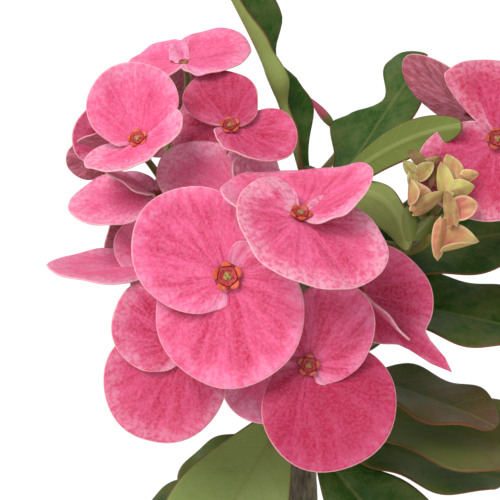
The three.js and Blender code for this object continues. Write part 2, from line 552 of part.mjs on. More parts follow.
// ---- stem with its side branch and thorns ---------------------------------------------------
// No thorn grows where a leaf leaves the stem.
const frontFeet = FRONT_LEAVES.map((p) => V(...p.at).applyMatrix4(head.matrixWorld));
const leafFeet = [
  ...frontFeet.map((q) => [q.z, 32, Math.atan2(q.y, q.x)]),
  ...STEM_LEAVES.map((p) => [p.z, 10, rad(p.turn)]),
];
const blocked = (z, ring) => leafFeet.some(([top, drop, bearing]) => {
  const off = Math.abs(Math.atan2(Math.sin(ring - bearing), Math.cos(ring - bearing)));
  return z < top + 9 && z > top - drop && off < 1;
});
const stemParts = [
  limb(STEM_PATH, STEM_RADII[0], STEM_RADII[1], 9, 14),
  limb(BRANCH_PATH, BRANCH_RADII[0], BRANCH_RADII[1], 8, 6),
  ...thorns(STEM_PATH, STEM_RADII[0], STEM_RADII[1], 0.13, 0.66, 36, 11, blocked),
];
put(plant, 'stem', fromSolid(fuse(stemParts)), WOOD);

// ---- blooms -------------------------------------------------------------------------------
for (const row of [...HEAD_BLOOMS, ...SIDE_BLOOMS]) {
  put(head, row.name, fromSolid(bloomSolid(row)), BRACT, row.at);
}

// ---- leaves -------------------------------------------------------------------------------
for (const p of FRONT_LEAVES) put(head, p.name, leafGeometry(p), LEAF, p.at);
const stemCurve = new THREE.CatmullRomCurve3(STEM_PATH.map((p) => V(...p)), false, 'centripetal');
const stemLength = STEM_PATH.at(-1)[2] - STEM_PATH[0][2];
for (const p of STEM_LEAVES) {
  const t = (p.z - STEM_PATH[0][2]) / stemLength;
  const c = stemCurve.getPointAt(t);
  const r = STEM_RADII[0] + (STEM_RADII[1] - STEM_RADII[0]) * t + GAP + 0.1;
  const at = [c.x + r * Math.cos(rad(p.turn)), c.y + r * Math.sin(rad(p.turn)), p.z];
  put(plant, p.name, leafGeometry(p), LEAF, at);
}

// ---- flower stalks ------------------------------------------------------------------------
// A stalk's last stretch runs straight up its bloom's axis and ends a gap short of the cup.
function pedicel(from, row, straight = 5, radius = 0.85) {
  const n = bloomAxis(row);
  const tip = V(...row.at).addScaledVector(n, -2 * (row.eye ?? 1) - GAP);
  const back = tip.clone().addScaledVector(n, -straight);
  return limb([from, back.toArray(), tip.toArray()], radius, radius, 4, 3);
}

const toHead = (p) => head.worldToLocal(V(...p)).toArray();
const byName = Object.fromEntries([...HEAD_BLOOMS, ...SIDE_BLOOMS].map((row) => [row.name, row]));
for (const [name, { foot, boughs }] of Object.entries(CYMES)) {
  const parts = [limb([toHead(foot[0]), toHead(foot[1]), boughs[0].knot], 1.5, 1.5, 6, 4)];
  for (const { knot, blooms } of boughs) {
    if (knot !== boughs[0].knot) parts.push(limb([boughs[0].knot, knot], 1.2, 1.1, 5, 1));
    for (const b of blooms) parts.push(pedicel(knot, byName[b]));
  }
  put(head, name, fromSolid(fuse(parts)), STALK);
}

// ---- young head and lone bud ----------------------------------------------------------------
const youngParts = [limb(YOUNG_STALK, 1.5, 1.3, 5, 6)];
for (const f of YOUNG_FLOWERS) {
  const n = V(...f.axis).normalize();
  const at = V(...f.at);
  const low = at.clone().addScaledVector(n, -3);
  youngParts.push(limb([YOUNG_STALK.at(-1), low.toArray(), at.toArray()], 1, 1, 4, 2));
  for (const b of f.bracts) {
    const g = blade((u, v) => bractPoint({ notch: 150, foot: 0.6, ripple: 0, ...b }, u, v), 1, 4, BRACT_THICK);
    youngParts.push(g.translate(...f.at));
  }
}
put(head, 'young_head', fromSolid(fuse(youngParts)), BUD);

const budFrom = V(...LONE_BUD_STALK.at(-1));
const budAxis = V(...LONE_BUD.to).sub(budFrom).normalize();
const budProfile = [[0, 0], [0.55, 0.08], [0.95, 0.3], [0.9, 0.6], [0.45, 0.88], [0, 1]]
  .map(([r, z]) => new THREE.Vector2(r * LONE_BUD.radius, z * LONE_BUD.length - 0.6));
const budShape = new THREE.LatheGeometry(budProfile, 8)
  .applyQuaternion(new THREE.Quaternion().setFromUnitVectors(V(0, 1, 0), budAxis))
  .translate(...budFrom.toArray());
put(head, 'lone_bud', fromSolid(fuse([limb(LONE_BUD_STALK, 1.1, 1.0, 5, 6), budShape])), BUD);

export default plant;
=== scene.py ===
from math import cos, pi, radians, sin

import bpy
import numpy as np
from bpy.props import FloatProperty, FloatVectorProperty, IntProperty, PointerProperty
from bpy.types import Operator, Panel, PropertyGroup
from mathutils import Euler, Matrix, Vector


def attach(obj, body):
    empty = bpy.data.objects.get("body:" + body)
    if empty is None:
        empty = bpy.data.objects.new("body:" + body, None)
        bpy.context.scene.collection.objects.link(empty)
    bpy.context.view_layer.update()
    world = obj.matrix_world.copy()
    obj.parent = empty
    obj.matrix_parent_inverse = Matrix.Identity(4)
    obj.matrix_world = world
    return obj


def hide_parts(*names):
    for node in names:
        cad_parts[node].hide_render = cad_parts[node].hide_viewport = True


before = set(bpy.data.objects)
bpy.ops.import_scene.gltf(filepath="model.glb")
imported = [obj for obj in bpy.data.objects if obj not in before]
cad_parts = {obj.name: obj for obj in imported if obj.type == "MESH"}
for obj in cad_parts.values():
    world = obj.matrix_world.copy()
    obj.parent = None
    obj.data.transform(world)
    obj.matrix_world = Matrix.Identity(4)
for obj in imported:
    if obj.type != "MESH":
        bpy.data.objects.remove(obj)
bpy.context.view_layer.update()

bl_info = {
    "name": "Crown of thorns in a clay pot",
    "version": (1, 0, 0),
    "blender": (4, 5, 0),
    "location": "3D View > Sidebar > Plant",
    "description": "Grows a potted crown of thorns: bracts, eyes, leaves, stalks, thorny stem, soil and pot",
    "category": "Add Mesh",
}

# Sizes below are in millimetres and become metres when a mesh is placed. +Z is up and the plant
# faces -Y. The origin is the centre of the pot's foot.
MM = 0.001


def shade(red, green, blue):
    """A colour given in screen values of 0 to 255, as the linear values that shaders take."""
    parts = np.array([red, green, blue]) / 255
    return tuple(np.where(parts > 0.04045, ((parts + 0.055) / 1.055) ** 2.4, parts / 12.92).tolist())


# ---- driving dimensions -------------------------------------------------------------------------
GAP = 0.3
POT_TOP = 62
POT_FOOT = 42
POT_HEIGHT = 104
POT_WALL = 5
POT_FLOOR = 8
RIM_BAND = 19
RIM_STEP = 4                # the band stands out this far from the wall's line
RIM_THICK = 6.5
DRAIN_RADIUS = 4
DRAIN_RING = 19
SOIL_TOP = 93
SOIL_CROWN = 2.5
STEM_HOLE = 14
BRACT_DEPTH = 0.35          # a bract's middle layer lies this far under the face that its table describes
LEAF_DEPTH = 0.4            # and a leaf's this far
EYE_NECK = 1.9              # a bloom's stalk ends this far below its foot
HEAD_TIP = radians(20)      # the flower head faces this far above the level
HEAD_AT = np.array([-15, -36, 235])
HEAD_TURN = np.array([[1, 0, 0], [0, sin(HEAD_TIP), cos(HEAD_TIP)], [0, -cos(HEAD_TIP), sin(HEAD_TIP)]])

# ---- the plant's layout -------------------------------------------------------------------------
# A bract: 'turn' is its bearing on the face of the head, 'lean' lifts its end, 'roll' its left
# side. It reaches 'reach' beyond its foot and 'heel' behind it. 'cup' dishes it, 'bend' turns its
# end up, 'arch' lifts both sides, 'skew' shifts it left, and 'notch' is the open angle behind the
# foot, in degrees, which 'lap' turns to the right. 'lobe' is the angle that rounds off each lobe,
# 'lift' raises the left side alone, 'keel' raises both sides straight from the middle line, and
# 'point' draws out the tip, over the angle 'sharp' in radians, to a cusp where 'taper' is 1.
# 'ripple' is the height of the 'waves' round its rim and 'crease' that of its faint folds, and its
# face starts at the distance 'foot'. A bloom: 'at' is its foot in the head's frame (x right, y up
# along the face, z out of it), 'age' deepens its colour, partly for age and partly as
# painted shade, and below zero pales it as painted light on blooms that lie in shade, 'frost'
# pales its margin, 'eye' is the eye's size, 'spin' its turn, 'sink' its depth below the foot, and
# 'axis' the way it faces where that isn't between its bracts. A bract's own age or frost
# comes before its bloom's.


def bract(turn, lean, roll, reach, width, heel, **more):
    """One row of a bract table, with the values that most bracts share filled in."""
    row = {"skew": 0, "cup": 2, "bend": 0, "arch": 0, "keel": 0, "lift": 0, "ripple": 0.4, "waves": 5,
           "notch": 22, "lap": 0, "foot": 1.3, "lobe": 38, "point": 0, "sharp": 0.3, "taper": 2,
           "crease": 0.2}
    row.update(turn=turn, lean=lean, roll=roll, reach=reach, width=width, heel=heel)
    row.update(more)
    return row


# A bloom's age value below zero is painted light that lifts bracts lying in the shade of the blooms in
# front; its values above zero are partly age and partly painted shade.
BLOOMS = {
    "bloom_01": {"at": (-5.5, -6.5, 0), "spin": 95, "bracts": [
        bract(140, 4, 7, 26, 31, 5.5, notch=14, lobe=26),
        bract(-86, 4, 7, 27, 37, 9, cup=1, notch=6, lobe=24, age=0.22)]},
    "bloom_02": {"at": (12, 8, 9), "eye": 0.76, "age": 0.35, "frost": 0.8, "spin": 60, "bracts": [
        bract(-104, 42, -12, 19, 39, 12, skew=3.5, cup=1, bend=-2, age=0.15),
        bract(92, -62, -4, 24, 37, 6, cup=1, arch=5, notch=105, lap=-22, lobe=30, age=0, frost=0.2)]},
    "bloom_03": {"at": (14.5, -28.5, -4), "eye": 0.76, "age": 0.72, "spin": 80, "bracts": [
        bract(68, 0, -10, 22.5, 22, 3.5, skew=-1.5, lobe=26, age=0.3),
        bract(-63, 10, -8, 27, 34, 4.5, cup=1, age=0.9)]},
    "bloom_04": {"at": (-28, 27.5, -12), "eye": 0.7, "age": -0.35, "spin": 30, "bracts": [
        bract(100, 0, 8, 19.5, 23, 1.5, cup=3),
        bract(-64, 55, 0, 13, 27, 8, skew=-1, lift=1.2, notch=70, lap=14, frost=0.5)]},
    "bloom_05": {"at": (-5, 31, -14), "eye": 0.7, "sink": 0.4, "age": 0.5, "spin": 100, "bracts": [
        bract(115, -35, 0, 18, 20, 3, notch=195, lap=-32, lobe=25, age=0.9),
        bract(-20, 0, -35, 17.3, 18.5, 4, notch=140, lap=-50, lobe=22, arch=2)]},
    "bloom_06": {"at": (-17, 48.5, -24), "eye": 0.4, "sink": 1.2, "age": -0.3, "bracts": [
        bract(20, -28, -48, 19, 20, 3, notch=60), bract(180, -30, 50, 15.5, 18, 1, notch=150)]},
    "bloom_07": {"at": (-24.5, 14.5, -18.5), "eye": 0.6, "sink": 2, "axis": (-0.25, 0.55, 0.8),
                 "age": -1, "frost": 0.3, "bracts": [
        bract(190, -10, 50, 22, 21, 2, notch=90), bract(152, 5, 82, 17, 15, 2, cup=0, notch=120)]},
    "bloom_08": {"at": (-25, -4, -23), "eye": 0.7, "axis": (-0.3, 0.5, 0.8), "age": -0.8, "bracts": [
        bract(183, 0, 72, 26.6, 26, 2, notch=100), bract(108, -10, 0, 13, 17, 2, notch=100)]},
    "bloom_09": {"at": (-16.5, -24, -14), "eye": 0.9, "age": 0.5, "frost": 0.5, "bracts": [
        bract(140, -5, 5, 20, 25, 3, age=0.3), bract(-118, -5, 5, 26, 31, 5)]},
    "bloom_10": {"at": (-2.5, 15.5, -16), "eye": 0.8, "age": -1, "frost": 0.5, "bracts": [
        bract(165, -8, 22, 22, 20.5, 4, notch=90), bract(30, -40, 10, 14, 16, 3, notch=150)]},
    "bloom_11": {"at": (3, -25.5, -20), "eye": 0.8, "axis": (0, -0.2, 1), "age": -0.8, "bracts": [
        bract(-85, 0, 0, 19, 22, 4, notch=120), bract(95, 35, 0, 12, 12, 2, notch=160)]},
    "bloom_12": {"at": (26.5, -10.5, -16), "eye": 0.7, "axis": (0.3, -0.2, 0.9), "age": 0.55, "bracts": [
        bract(-40, -3, 0, 19.5, 23.8, 9.5, skew=3.5, point=0.66, sharp=0.1, notch=90),
        bract(-43, 10, 84, 18.5, 14, 1.5, cup=0, ripple=0.2, notch=200, age=0, frost=1)]},
    "bloom_13": {"at": (-5.5, 32, -20.2), "eye": 0.6, "sink": 2, "axis": (-0.3, 0.3, 1), "age": 0.3,
                 "frost": 0.5, "bracts": [
        bract(186, -32, 9, 16, 20, 4, notch=150), bract(65, -70, 0, 9, 12, 2, notch=160)]},
    "bloom_14": {"at": (-35.5, 28.5, -26), "eye": 0.7, "axis": (-0.8, 0.2, 0.5), "age": 0.6, "bracts": [
        bract(222, -10, 150, 14, 13, 1.5, notch=190), bract(150, 0, 0, 10, 17, 1.5, notch=160)]},
    "bloom_15": {"at": (-12, 20, -58), "age": 0.3, "bracts": [
        bract(80, 20, 180, 20, 28, 4, notch=60), bract(-100, 8, 180, 21, 30, 5, notch=60)]},
    "bloom_16": {"at": (-23, 1, -47), "age": 0.4, "bracts": [
        bract(130, 40, 190, 19, 27, 4, notch=60), bract(-60, 10, 185, 20, 28, 4, notch=60)]},
    "bloom_17": {"at": (-8, -20, -50), "eye": 0.9, "age": 0.2, "bracts": [
        bract(-70, 25, 180, 20, 27, 4, notch=60), bract(150, 5, 180, 17, 24, 3, notch=60)]},
    "bloom_18": {"at": (-22, 42, -46), "eye": 0.9, "age": 0.1, "bracts": [
        bract(60, 45, 180, 14, 22, 4, notch=60), bract(-130, 5, 180, 18, 25, 3, notch=60)]},
    "bloom_19": {"at": (61.5, 27.5, -10), "eye": 0.8, "age": 0.6, "frost": 0.9, "bracts": [
        bract(-100, 5, 5, 21, 32, 4, skew=-2.5),
        bract(112, -10, 10, 21, 30, 4, notch=185, lap=-62, lobe=9)]},
    "bloom_20": {"at": (58, 35, -24), "eye": 0.8, "axis": (-0.3, 0.8, -0.3), "age": 0.5, "bracts": [
        bract(145, -10, 140, 20, 14, 2, notch=150, point=0.18), bract(40, -20, 160, 13, 20, 2, notch=200)]},
    "bloom_21": {"at": (67, 33, -46), "eye": 0.9, "age": 0.3, "bracts": [
        bract(70, 25, 180, 18, 26, 4, notch=60), bract(-75, 0, 180, 17, 25, 4, notch=60)]},
}

# Flower stalks: the foot is on the wood in the plant's frame, and the knots, the first of them on
# the foot, are in the head's frame with the blooms that each one carries.
CYMES = {
    "stalks_main": {"foot": ((-4.1, -1.1, 208), (-8, -2.4, 211)), "boughs": [
        ((-5, -2, -37), (16, 8, 15)), ((3, -4, -27), (1, 2, 3, 12)), ((-2, -17, -33), (9, 11, 17)),
        ((-3, 19, -36), (5, 10)), ((-20, 14, -37), (4, 6, 7, 13, 14, 18))]},
    "stalks_side": {"foot": ((37.5, 13, 238.6), (41, 12.5, 242)), "boughs": [
        ((58, 22, -38), (19, 20, 21))]},
}


def leaf(at, turn, lean, roll, length, width, **more):
    """One row of a leaf table, with the values that most leaves share filled in.

    'arch' droops the rib and 'sweep' swings it left, in degrees; 'fold' raises both halves and
    'curl' rolls the right and the left one on. 'belly', 'base', 'tip' and 'wedge' shape the
    outline, and 'left' and 'right' scale its halves by knots of (share of the length, factor).
    'olive' lightens the upper face and darkens the lower one, 'bronze' tans both, and 'flush' is
    bronze at the tip alone.
    """
    row = {"arch": 10, "sweep": 0, "fold": 10, "curl": (0, 0), "left": ((0, 1), (1, 1)),
           "right": ((0, 1), (1, 1)), "wave": 1, "waves": 2.5, "phase": 0, "belly": 0.62, "base": 0.12,
           "tip": 1, "wedge": 1.3, "olive": 0.1, "bronze": 0, "flush": 0.1}
    row.update(at=at, turn=turn, lean=lean, roll=roll, length=length, width=width)
    row.update(more)
    return row


# Leaves by the front of the plant, in the head's frame.
FRONT_LEAVES = {
    "leaf_01": leaf((13.7, 21, -31), 104, 5, 40, 56, 20, arch=0, sweep=24, fold=15, curl=(0, 140), wave=1.5,
                    waves=2, phase=-1.8, base=0.3, olive=0.1,
                    left=((0, 0.15), (0.18, 0.5), (0.3, 0.35), (0.43, 1.1), (0.6, 0.5), (0.8, 0.3),
                          (1, 0.3)),
                    right=((0, 1), (0.25, 1.1), (0.38, 0.8), (0.52, 0.45), (0.68, 0.95), (1, 1))),
    "leaf_02": leaf((18.2, 8, -37.7), 60, -11, -46, 55, 24, arch=5, sweep=-4, fold=8, wave=1.5, waves=1.8,
                    phase=2.6, belly=0.5, tip=0.5, wedge=1.8, olive=0.15,
                    left=((0, 0.4), (0.31, 0.6), (0.5, 1.15), (0.57, 1), (0.7, 0.4), (0.88, 1.3), (1, 1.8)),
                    right=((0, 1), (0.8, 1), (0.95, 0.1), (1, 0.1))),
    "leaf_03": leaf((18.4, 11.5, -32.6), 49, 21, 142, 48, 10.5, arch=0, sweep=42, fold=8, waves=1, base=0.3,
                    tip=0.8, olive=0.8),
    "leaf_04": leaf((18.3, 12, -32.5), 38, 22, 150, 37, 14, arch=0, sweep=120, fold=15, tip=0.7, belly=0.5,
                    olive=0, flush=0.3, right=((0, 0.5), (1, 0.5))),
    "leaf_05": leaf((18.6, -5, -40.2), 14, 15, -45, 60, 28, arch=15, sweep=5, wave=1.5),
    "leaf_06": leaf((18.7, -12.5, -43), -2, 15, -56, 60, 28, arch=15, sweep=-5, wave=1.5, flush=0.3),
    "leaf_07": leaf((19, -32, -49.8), -8, 25, -68, 52, 25, arch=15, sweep=-7, fold=6, wave=1.5, olive=0.2,
                    bronze=0.35, flush=0.7),
    "leaf_08": leaf((19, -41, -54), -8, 22, -50, 62, 29, arch=10, sweep=-5, wave=1.5, olive=0.8, flush=0.9),
    "leaf_09": leaf((19, -49.5, -57), -14, 20, -55, 52, 27, arch=10, sweep=14, wave=1.5, olive=0.4),
    "leaf_10": leaf((18.1, -54, -54.9), -48, 30, -5, 60, 30, arch=10, sweep=-5, wave=1.5),
    # leaf_11 lies in shade under the blooms, and its high olive is partly painted light that lifts it.
    "leaf_11": leaf((11.3, -41, -49.8), -121, 15, 5, 63, 32, arch=10, fold=8, olive=1.2, flush=0),
    "leaf_12": leaf((10.1, -50, -57), -154, 5, 25, 34, 17.5, arch=10, sweep=10, olive=0.5),
}

# Leaves behind and below: height on the stem, bearing round it from +X, rise, roll, length, width.
STEM_LEAVES = {
    "leaf_13": (222, 85, 5, 0, 58, 27, 25), "leaf_14": (184, 60, 0, -20, 60, 28, 13),
    "leaf_15": (206, 105, 0, -5, 56, 27, 20), "leaf_16": (196, 132, -5, 0, 62, 29, 20),
    "leaf_17": (187, 160, -5, 10, 52, 26, 20), "leaf_18": (176, 95, -10, 0, 58, 28, 20),
    "leaf_19": (168, 45, -8, 5, 58, 28, 20), "leaf_20": (152, 160, -12, 0, 46, 25, 15),
    "leaf_21": (134, 230, 5, 5, 46, 24, 20), "leaf_22": (127, 335, 5, -5, 48, 25, 20),
}

STEM_PATH = ((0, 0, SOIL_TOP - STEM_HOLE + 1), (1, 0.5, 120), (-0.5, 0, 160), (0, 0, 200), (0, 0.5, 243))
STEM_LONG = 165             # about the height of the stem over its foot
STEM_RADII = (4.8, 2.9)
BRANCH_PATH = ((0, 0.5, 190), (6, 6, 202), (19, 13, 219), (37, 13, 238))
BRANCH_RADII = (2.7, 2.2)
PATH_POINTS = 401           # points along the stem by which thorns and leaves find their place

# Thorns stand from the share 'first' of the stem to 'last', each 'step' degrees round from the one
# below. None grows up to 'above' mm over a leaf's foot, or 'front' (for a front leaf) or 'stem' mm
# under it, within 'angle' radians of it.
THORNS = {"first": 0.13, "last": 0.66, "count": 36, "step": 137.5, "seed": 11}
THORN_FREE = {"above": 9, "front": 32, "stem": 10, "angle": 1}
THORN_ROOT = 1.2            # a thorn starts this deep in the wood

# The young head in the head's frame: one stalk, then the small keeled bracts of half-open flowers.
YOUNG_STALK = ((18.8, 1.8, -38.4), (28, 1.8, -37), (36, 1, -32.5), (41.5, 0, -28), (45, 3, -19),
               (44.3, 7, -10))


def hood(at, turn, roll, reach, width, keel, tone, **more):
    """A small keeled bract of the young head with its own foot, a narrow base and a drawn-out point.

    'tone' is its share of salmon, of dusky brown and of leaf green over the pale yellow. The dusky
    brown is partly the bracts' own and partly painted shade on bracts that lie in shadow.
    """
    row = bract(turn, 0, roll, reach * 0.86, width, 0.8, keel=keel, cup=0.5, notch=150, foot=0.4,
                ripple=0.2, waves=3, crease=0, lobe=70, point=0.4, sharp=0.32, taper=1)
    row.update(at=at, tone=tone, **more)
    return row


# The second share of each tone, dusky brown, is partly painted shade on bracts that lie in shadow.
HOODS = (
    hood((46.7, 0, -3), 9, -55, 8.1, 7.2, 4.4, (0.45, 0, 0.1)),
    hood((47.1, 8.1, -2.6), -94, 150, 9.6, 3.4, 0.7, (0.7, 0.05, 0), point=0.3),
    hood((49.1, 9.3, -3), 17, -10, 7.2, 5.8, 0, (0.8, 0, 0), point=0.15, arch=0.8),
    hood((50, 5.6, -2.2), 103, 160, 7, 3, 0.8, (0.5, 0.4, 0), point=0.5),
    hood((48.5, 13, -4), 103, 150, 6.3, 4, 1.2, (0.05, 0, 0), point=0.65, heel=2),
    hood((51.1, 17, -5.2), 112, 170, 6, 4.8, 0.8, (0.5, 0.05, 0.05)),
    hood((52.1, 18, -5), 9, 200, 3.8, 3.2, 0.6, (0.45, 0.05, 0)),
    hood((49.2, 14.5, -3.8), 11, 190, 5.2, 4.6, 1.4, (0.1, 0.05, 0.1)),
    hood((39.4, 11.1, -4.5), 94, 60, 5.6, 7.2, 4.7, (0.5, 0, 0)),
    hood((39.6, 9.1, -3.2), 30, 200, 7.5, 3.6, 0.9, (0.5, 0.3, 0.1), point=0.55),
    hood((39.9, 2.2, -4.2), 98, 180, 7.3, 3.2, 1, (0, 0, 0.9)),
    hood((40, 2.5, -4.8), 49, 160, 7.1, 3.3, 0.6, (0, 0.15, 1)),
    hood((40.8, 18.8, -6.5), 135, 160, 3.5, 2.8, 0.6, (0, 0.15, 0.35)),
    hood((41.3, 17.6, -6.2), 41, -20, 4.7, 3.6, 1.2, (0.2, 0.15, 0.2)),
    hood((40.6, 16.3, -6), 105, 180, 3.2, 2.6, 0.5, (0, 0.1, 0.3)),
    hood((43.4, 21.1, -7.5), 139, 180, 4.4, 2.7, 0.5, (0, 0.7, 0.3)),
    hood((43.6, 21.6, -7.3), 21, 180, 3.5, 1.8, 0.3, (0.2, 0.6, 0)),
    hood((45.5, 15.3, -6.4), 92, 180, 5.2, 2.6, 0.4, (0.1, 0.95, 0)),
)
HOOD_FEET = ((46.6, 2.5, -5), (49.4, 8, -5.5), (49.4, 14.5, -6.5), (41.5, 10.5, -6.5), (41.6, 17.2, -8.5))

LONE_BUD_STALK = ((15.2, 15.2, -36.8), (17, 18.5, -45), (24.5, 28, -53), (22.6, 33.9, -53))
LONE_BUD = {"length": 10.6, "radius": 1.35, "to": (15.8, 42, -52)}

# The camera stands this far out along the head's axis, and takes in this width at the head. The
# light comes from this side, in metres.
CAMERA_AWAY = 450
CAMERA_WIDTH = 122.02
LIGHT_FROM = (-0.5, -0.6, 0.9)


# ---- what a user would change ---------------------------------------------------------------------
def colour(name, what, value):
    """A colour property with its name, its description and its default in screen values."""
    return FloatVectorProperty(name=name, description=what, subtype="COLOR", size=3, min=0, max=1,
                               default=shade(*value))


def length(name, what, value, most):
    """A length property in metres, from a default and a highest value in millimetres."""
    return FloatProperty(name=name, description=what, unit="LENGTH", default=value * MM, min=0.05 * MM,
                         max=most * MM, precision=5)


class BloomSettings(PropertyGroup):
    pink: colour("Pink", "Colour of a young bract", (240, 96, 146))
    # Rose is also where the age value deepens a bloom: partly age, partly painted shade.
    rose: colour("Rose", "Deeper colour in the middle and of older bracts", (202, 32, 80))
    mauve: colour("Mauve", "Pale colour of lobes and margins", (242, 166, 198))
    edge: colour("Edge", "Thin line along a bract's rim", (242, 196, 190))
    back: colour("Back", "Underside of a bract", (148, 82, 86))
    gland: colour("Gland", "The five nectar glands", (206, 74, 40))
    cup: colour("Cup", "The eye's inner cup", (196, 50, 62))
    heart: colour("Heart", "The lump in the middle of the eye", (150, 134, 62))
    thickness: length("Thickness", "Thickness of a bract", 0.6, 0.7)


class BudSettings(PropertyGroup):
    pale: colour("Pale yellow", "Outside and margin of a young bract", (200, 190, 108))
    salmon: colour("Salmon", "Inside of a young bract", (202, 112, 102))
    green: colour("Green", "Bracts at the foot of the head", (70, 86, 24))
    pink: colour("Closed bud", "Colour of the closed bud", (190, 76, 100))
    thickness: length("Thickness", "Thickness of a young bract", 0.34, 0.5)


class LeafSettings(PropertyGroup):
    green: colour("Green", "Upper face of a leaf", (34, 72, 14))
    olive: colour("Olive", "Upper face of a light leaf", (126, 142, 78))
    bronze: colour("Bronze", "Flush of a leaf that stood in the sun", (96, 68, 46))
    under: colour("Underside", "Lower face of a leaf", (134, 146, 80))
    margin: colour("Margin", "Thin line along a leaf's rim", (112, 58, 38))
    thickness: length("Thickness", "Thickness of a leaf", 0.8, 0.8)


class WoodSettings(PropertyGroup):
    bark: colour("Bark", "The old stem", (104, 92, 74))
    scar: colour("Scar", "Where leaves have dropped", (172, 150, 116))
    young: colour("Young wood", "The green top of the stem", (96, 100, 50))
    thorn: colour("Thorn", "The thorns", (86, 72, 60))
    stalk: colour("Stalk", "The flower stalks", (104, 116, 42))


class PotSettings(PropertyGroup):
    clay: colour("Clay", "The fired pot", (190, 110, 78))
    chalk: colour("Chalk", "Lime that has come through the wall", (222, 190, 166))
    soil: colour("Soil", "Peaty potting mix", (62, 46, 34))
    chip: colour("Bark chips", "Lighter bits in the soil", (112, 82, 56))
    grit: colour("Grit", "Pale grains of perlite", (228, 222, 210))
    crumbs: IntProperty(name="Crumbs", description="Number of loose bits on the soil", default=420, min=0,
                        max=900)


class StageSettings(PropertyGroup):
    floor: colour("Floor", "The pale floor", (250, 250, 250))
    floor_width: FloatProperty(name="Floor width", description="Side of the square floor", unit="LENGTH",
                               default=60, min=2, max=100)
    sky: FloatProperty(name="Sky", description="Brightness of the even light", default=0.62, min=0, max=5)
    key: FloatProperty(name="Key", description="Strength of the soft light from the upper left",
                       default=2.1, min=0, max=20)
    softness: FloatProperty(name="Softness", description="Angle that the light comes from", subtype="ANGLE",
                            default=radians(32), min=radians(1), max=radians(120))


# ---- surfaces -------------------------------------------------------------------------------------
def unit(vectors):
    """Each vector over its own length."""
    return vectors / np.maximum(np.linalg.norm(vectors, axis=-1, keepdims=True), 1e-12)


def blade_axes(turn, lean, roll):
    """Columns: along a blade, to its left, and out of its upper face.

    The level blade is rolled about its own length, then leaned up, then turned about z.
    """
    t, b, r = radians(turn), -radians(lean), radians(roll)
    about_z = np.array([[cos(t), -sin(t), 0], [sin(t), cos(t), 0], [0, 0, 1]])
    about_y = np.array([[cos(b), 0, sin(b)], [0, 1, 0], [-sin(b), 0, cos(b)]])
    about_x = np.array([[1, 0, 0], [0, cos(r), -sin(r)], [0, sin(r), cos(r)]])
    return about_z @ about_y @ about_x


def upright_to(axis, spin=0):
    """Columns of a frame whose third axis is the given one, turned by 'spin' degrees about it.

    The third axis w is fixed, the first is x or z with its share along w taken off, and the
    second is w cross the first.
    """
    w = unit(np.array(axis, float))
    guide = np.array([1.0, 0, 0]) if abs(w[0]) < 0.8 else np.array([0, 0, 1.0])
    first = unit(guide - w * (guide @ w))
    second = np.cross(w, first)
    c, s = cos(radians(spin)), sin(radians(spin))
    return np.stack([first * c + second * s, second * c - first * s, w], axis=1)


def to_head(points):
    """Plant frame to head frame."""
    return (np.asarray(points, float) - HEAD_AT) @ HEAD_TURN.T


def from_head(points):
    """Head frame to plant frame."""
    return np.asarray(points, float) @ HEAD_TURN + HEAD_AT


def seeded(seed):
    """A draw between 0 and 1 that always gives the same row of numbers for a seed.

    It is a 32-bit hash of a counter.
    """
    full = 0xFFFFFFFF
    state = [seed]

    def draw():
        state[0] = (state[0] + 0x6D2B79F5) & full
        t = ((state[0] ^ (state[0] >> 15)) * (state[0] | 1)) & full
        t ^= (t + (((t ^ (t >> 7)) * (t | 61)) & full)) & full
        return (t ^ (t >> 14)) / 4294967296

    return draw


def relief(points, size, seed=0):
    """Smooth random relief from -1 to 1 with bumps about 'size' across.

    Random heights sit on the corners of a cubic lattice, and between them each point takes the
    mean of its eight corners, weighted along each axis by 3t^2 - 2t^3.
    """
    q = np.asarray(points, float) / size + seed * 17.31
    low = np.floor(q).astype(np.int64)
    t = q - low
    t = t * t * (3 - 2 * t)
    total = np.zeros(q.shape[:-1])
    for corner in np.ndindex(2, 2, 2):
        at = low + corner
        h = (at[..., 0] * 73856093) ^ (at[..., 1] * 19349663) ^ (at[..., 2] * 83492791)
        h = ((h ^ (h >> 13)) * 1274126177) & 0x7FFFFFFF
        h = ((h ^ (h >> 15)) * 668265263) & 0x7FFFFFFF
        weight = np.prod(np.where(np.array(corner) == 1, t, 1 - t), axis=-1)
        total += weight * (h / 0x3FFFFFFF - 1)
    return total


def loft(loops, start, end, **marks):
    """A closed surface through an (m, n, 3) grid of loops, drawn together to a point at each end.

    Loops run anticlockwise about the way that they follow each other, so faces look outwards.
    Each mark is a number for the whole surface, an (m, n) grid or an (m, n, 3) one.
    """
    m, n = loops.shape[:2]
    first, last = m * n, m * n + 1
    j = np.arange(n)
    k = (j + 1) % n
    rows = np.arange(m - 1)[:, None] * n
    quads = np.stack([rows + j, rows + k, rows + n + k, rows + n + j], axis=-1).reshape(-1, 4)
    ends = np.concatenate([
        np.stack([np.full(n, first), k, j], axis=-1),
        np.stack([(m - 1) * n + j, (m - 1) * n + k, np.full(n, last)], axis=-1)])
    kept = {}
    for name, value in marks.items():
        grid = np.asarray(value, float)
        if grid.shape[:2] != (m, n):
            grid = np.broadcast_to(grid, (m, n) + grid.shape)
        flat = grid.reshape((m * n,) + grid.shape[2:])
        kept[name] = np.concatenate([flat, [grid[0].mean(axis=0), grid[-1].mean(axis=0)]])
    points = np.concatenate([loops.reshape(-1, 3), [start, end]])
    return {"points": points, "quads": quads, "ends": ends, "marks": kept}


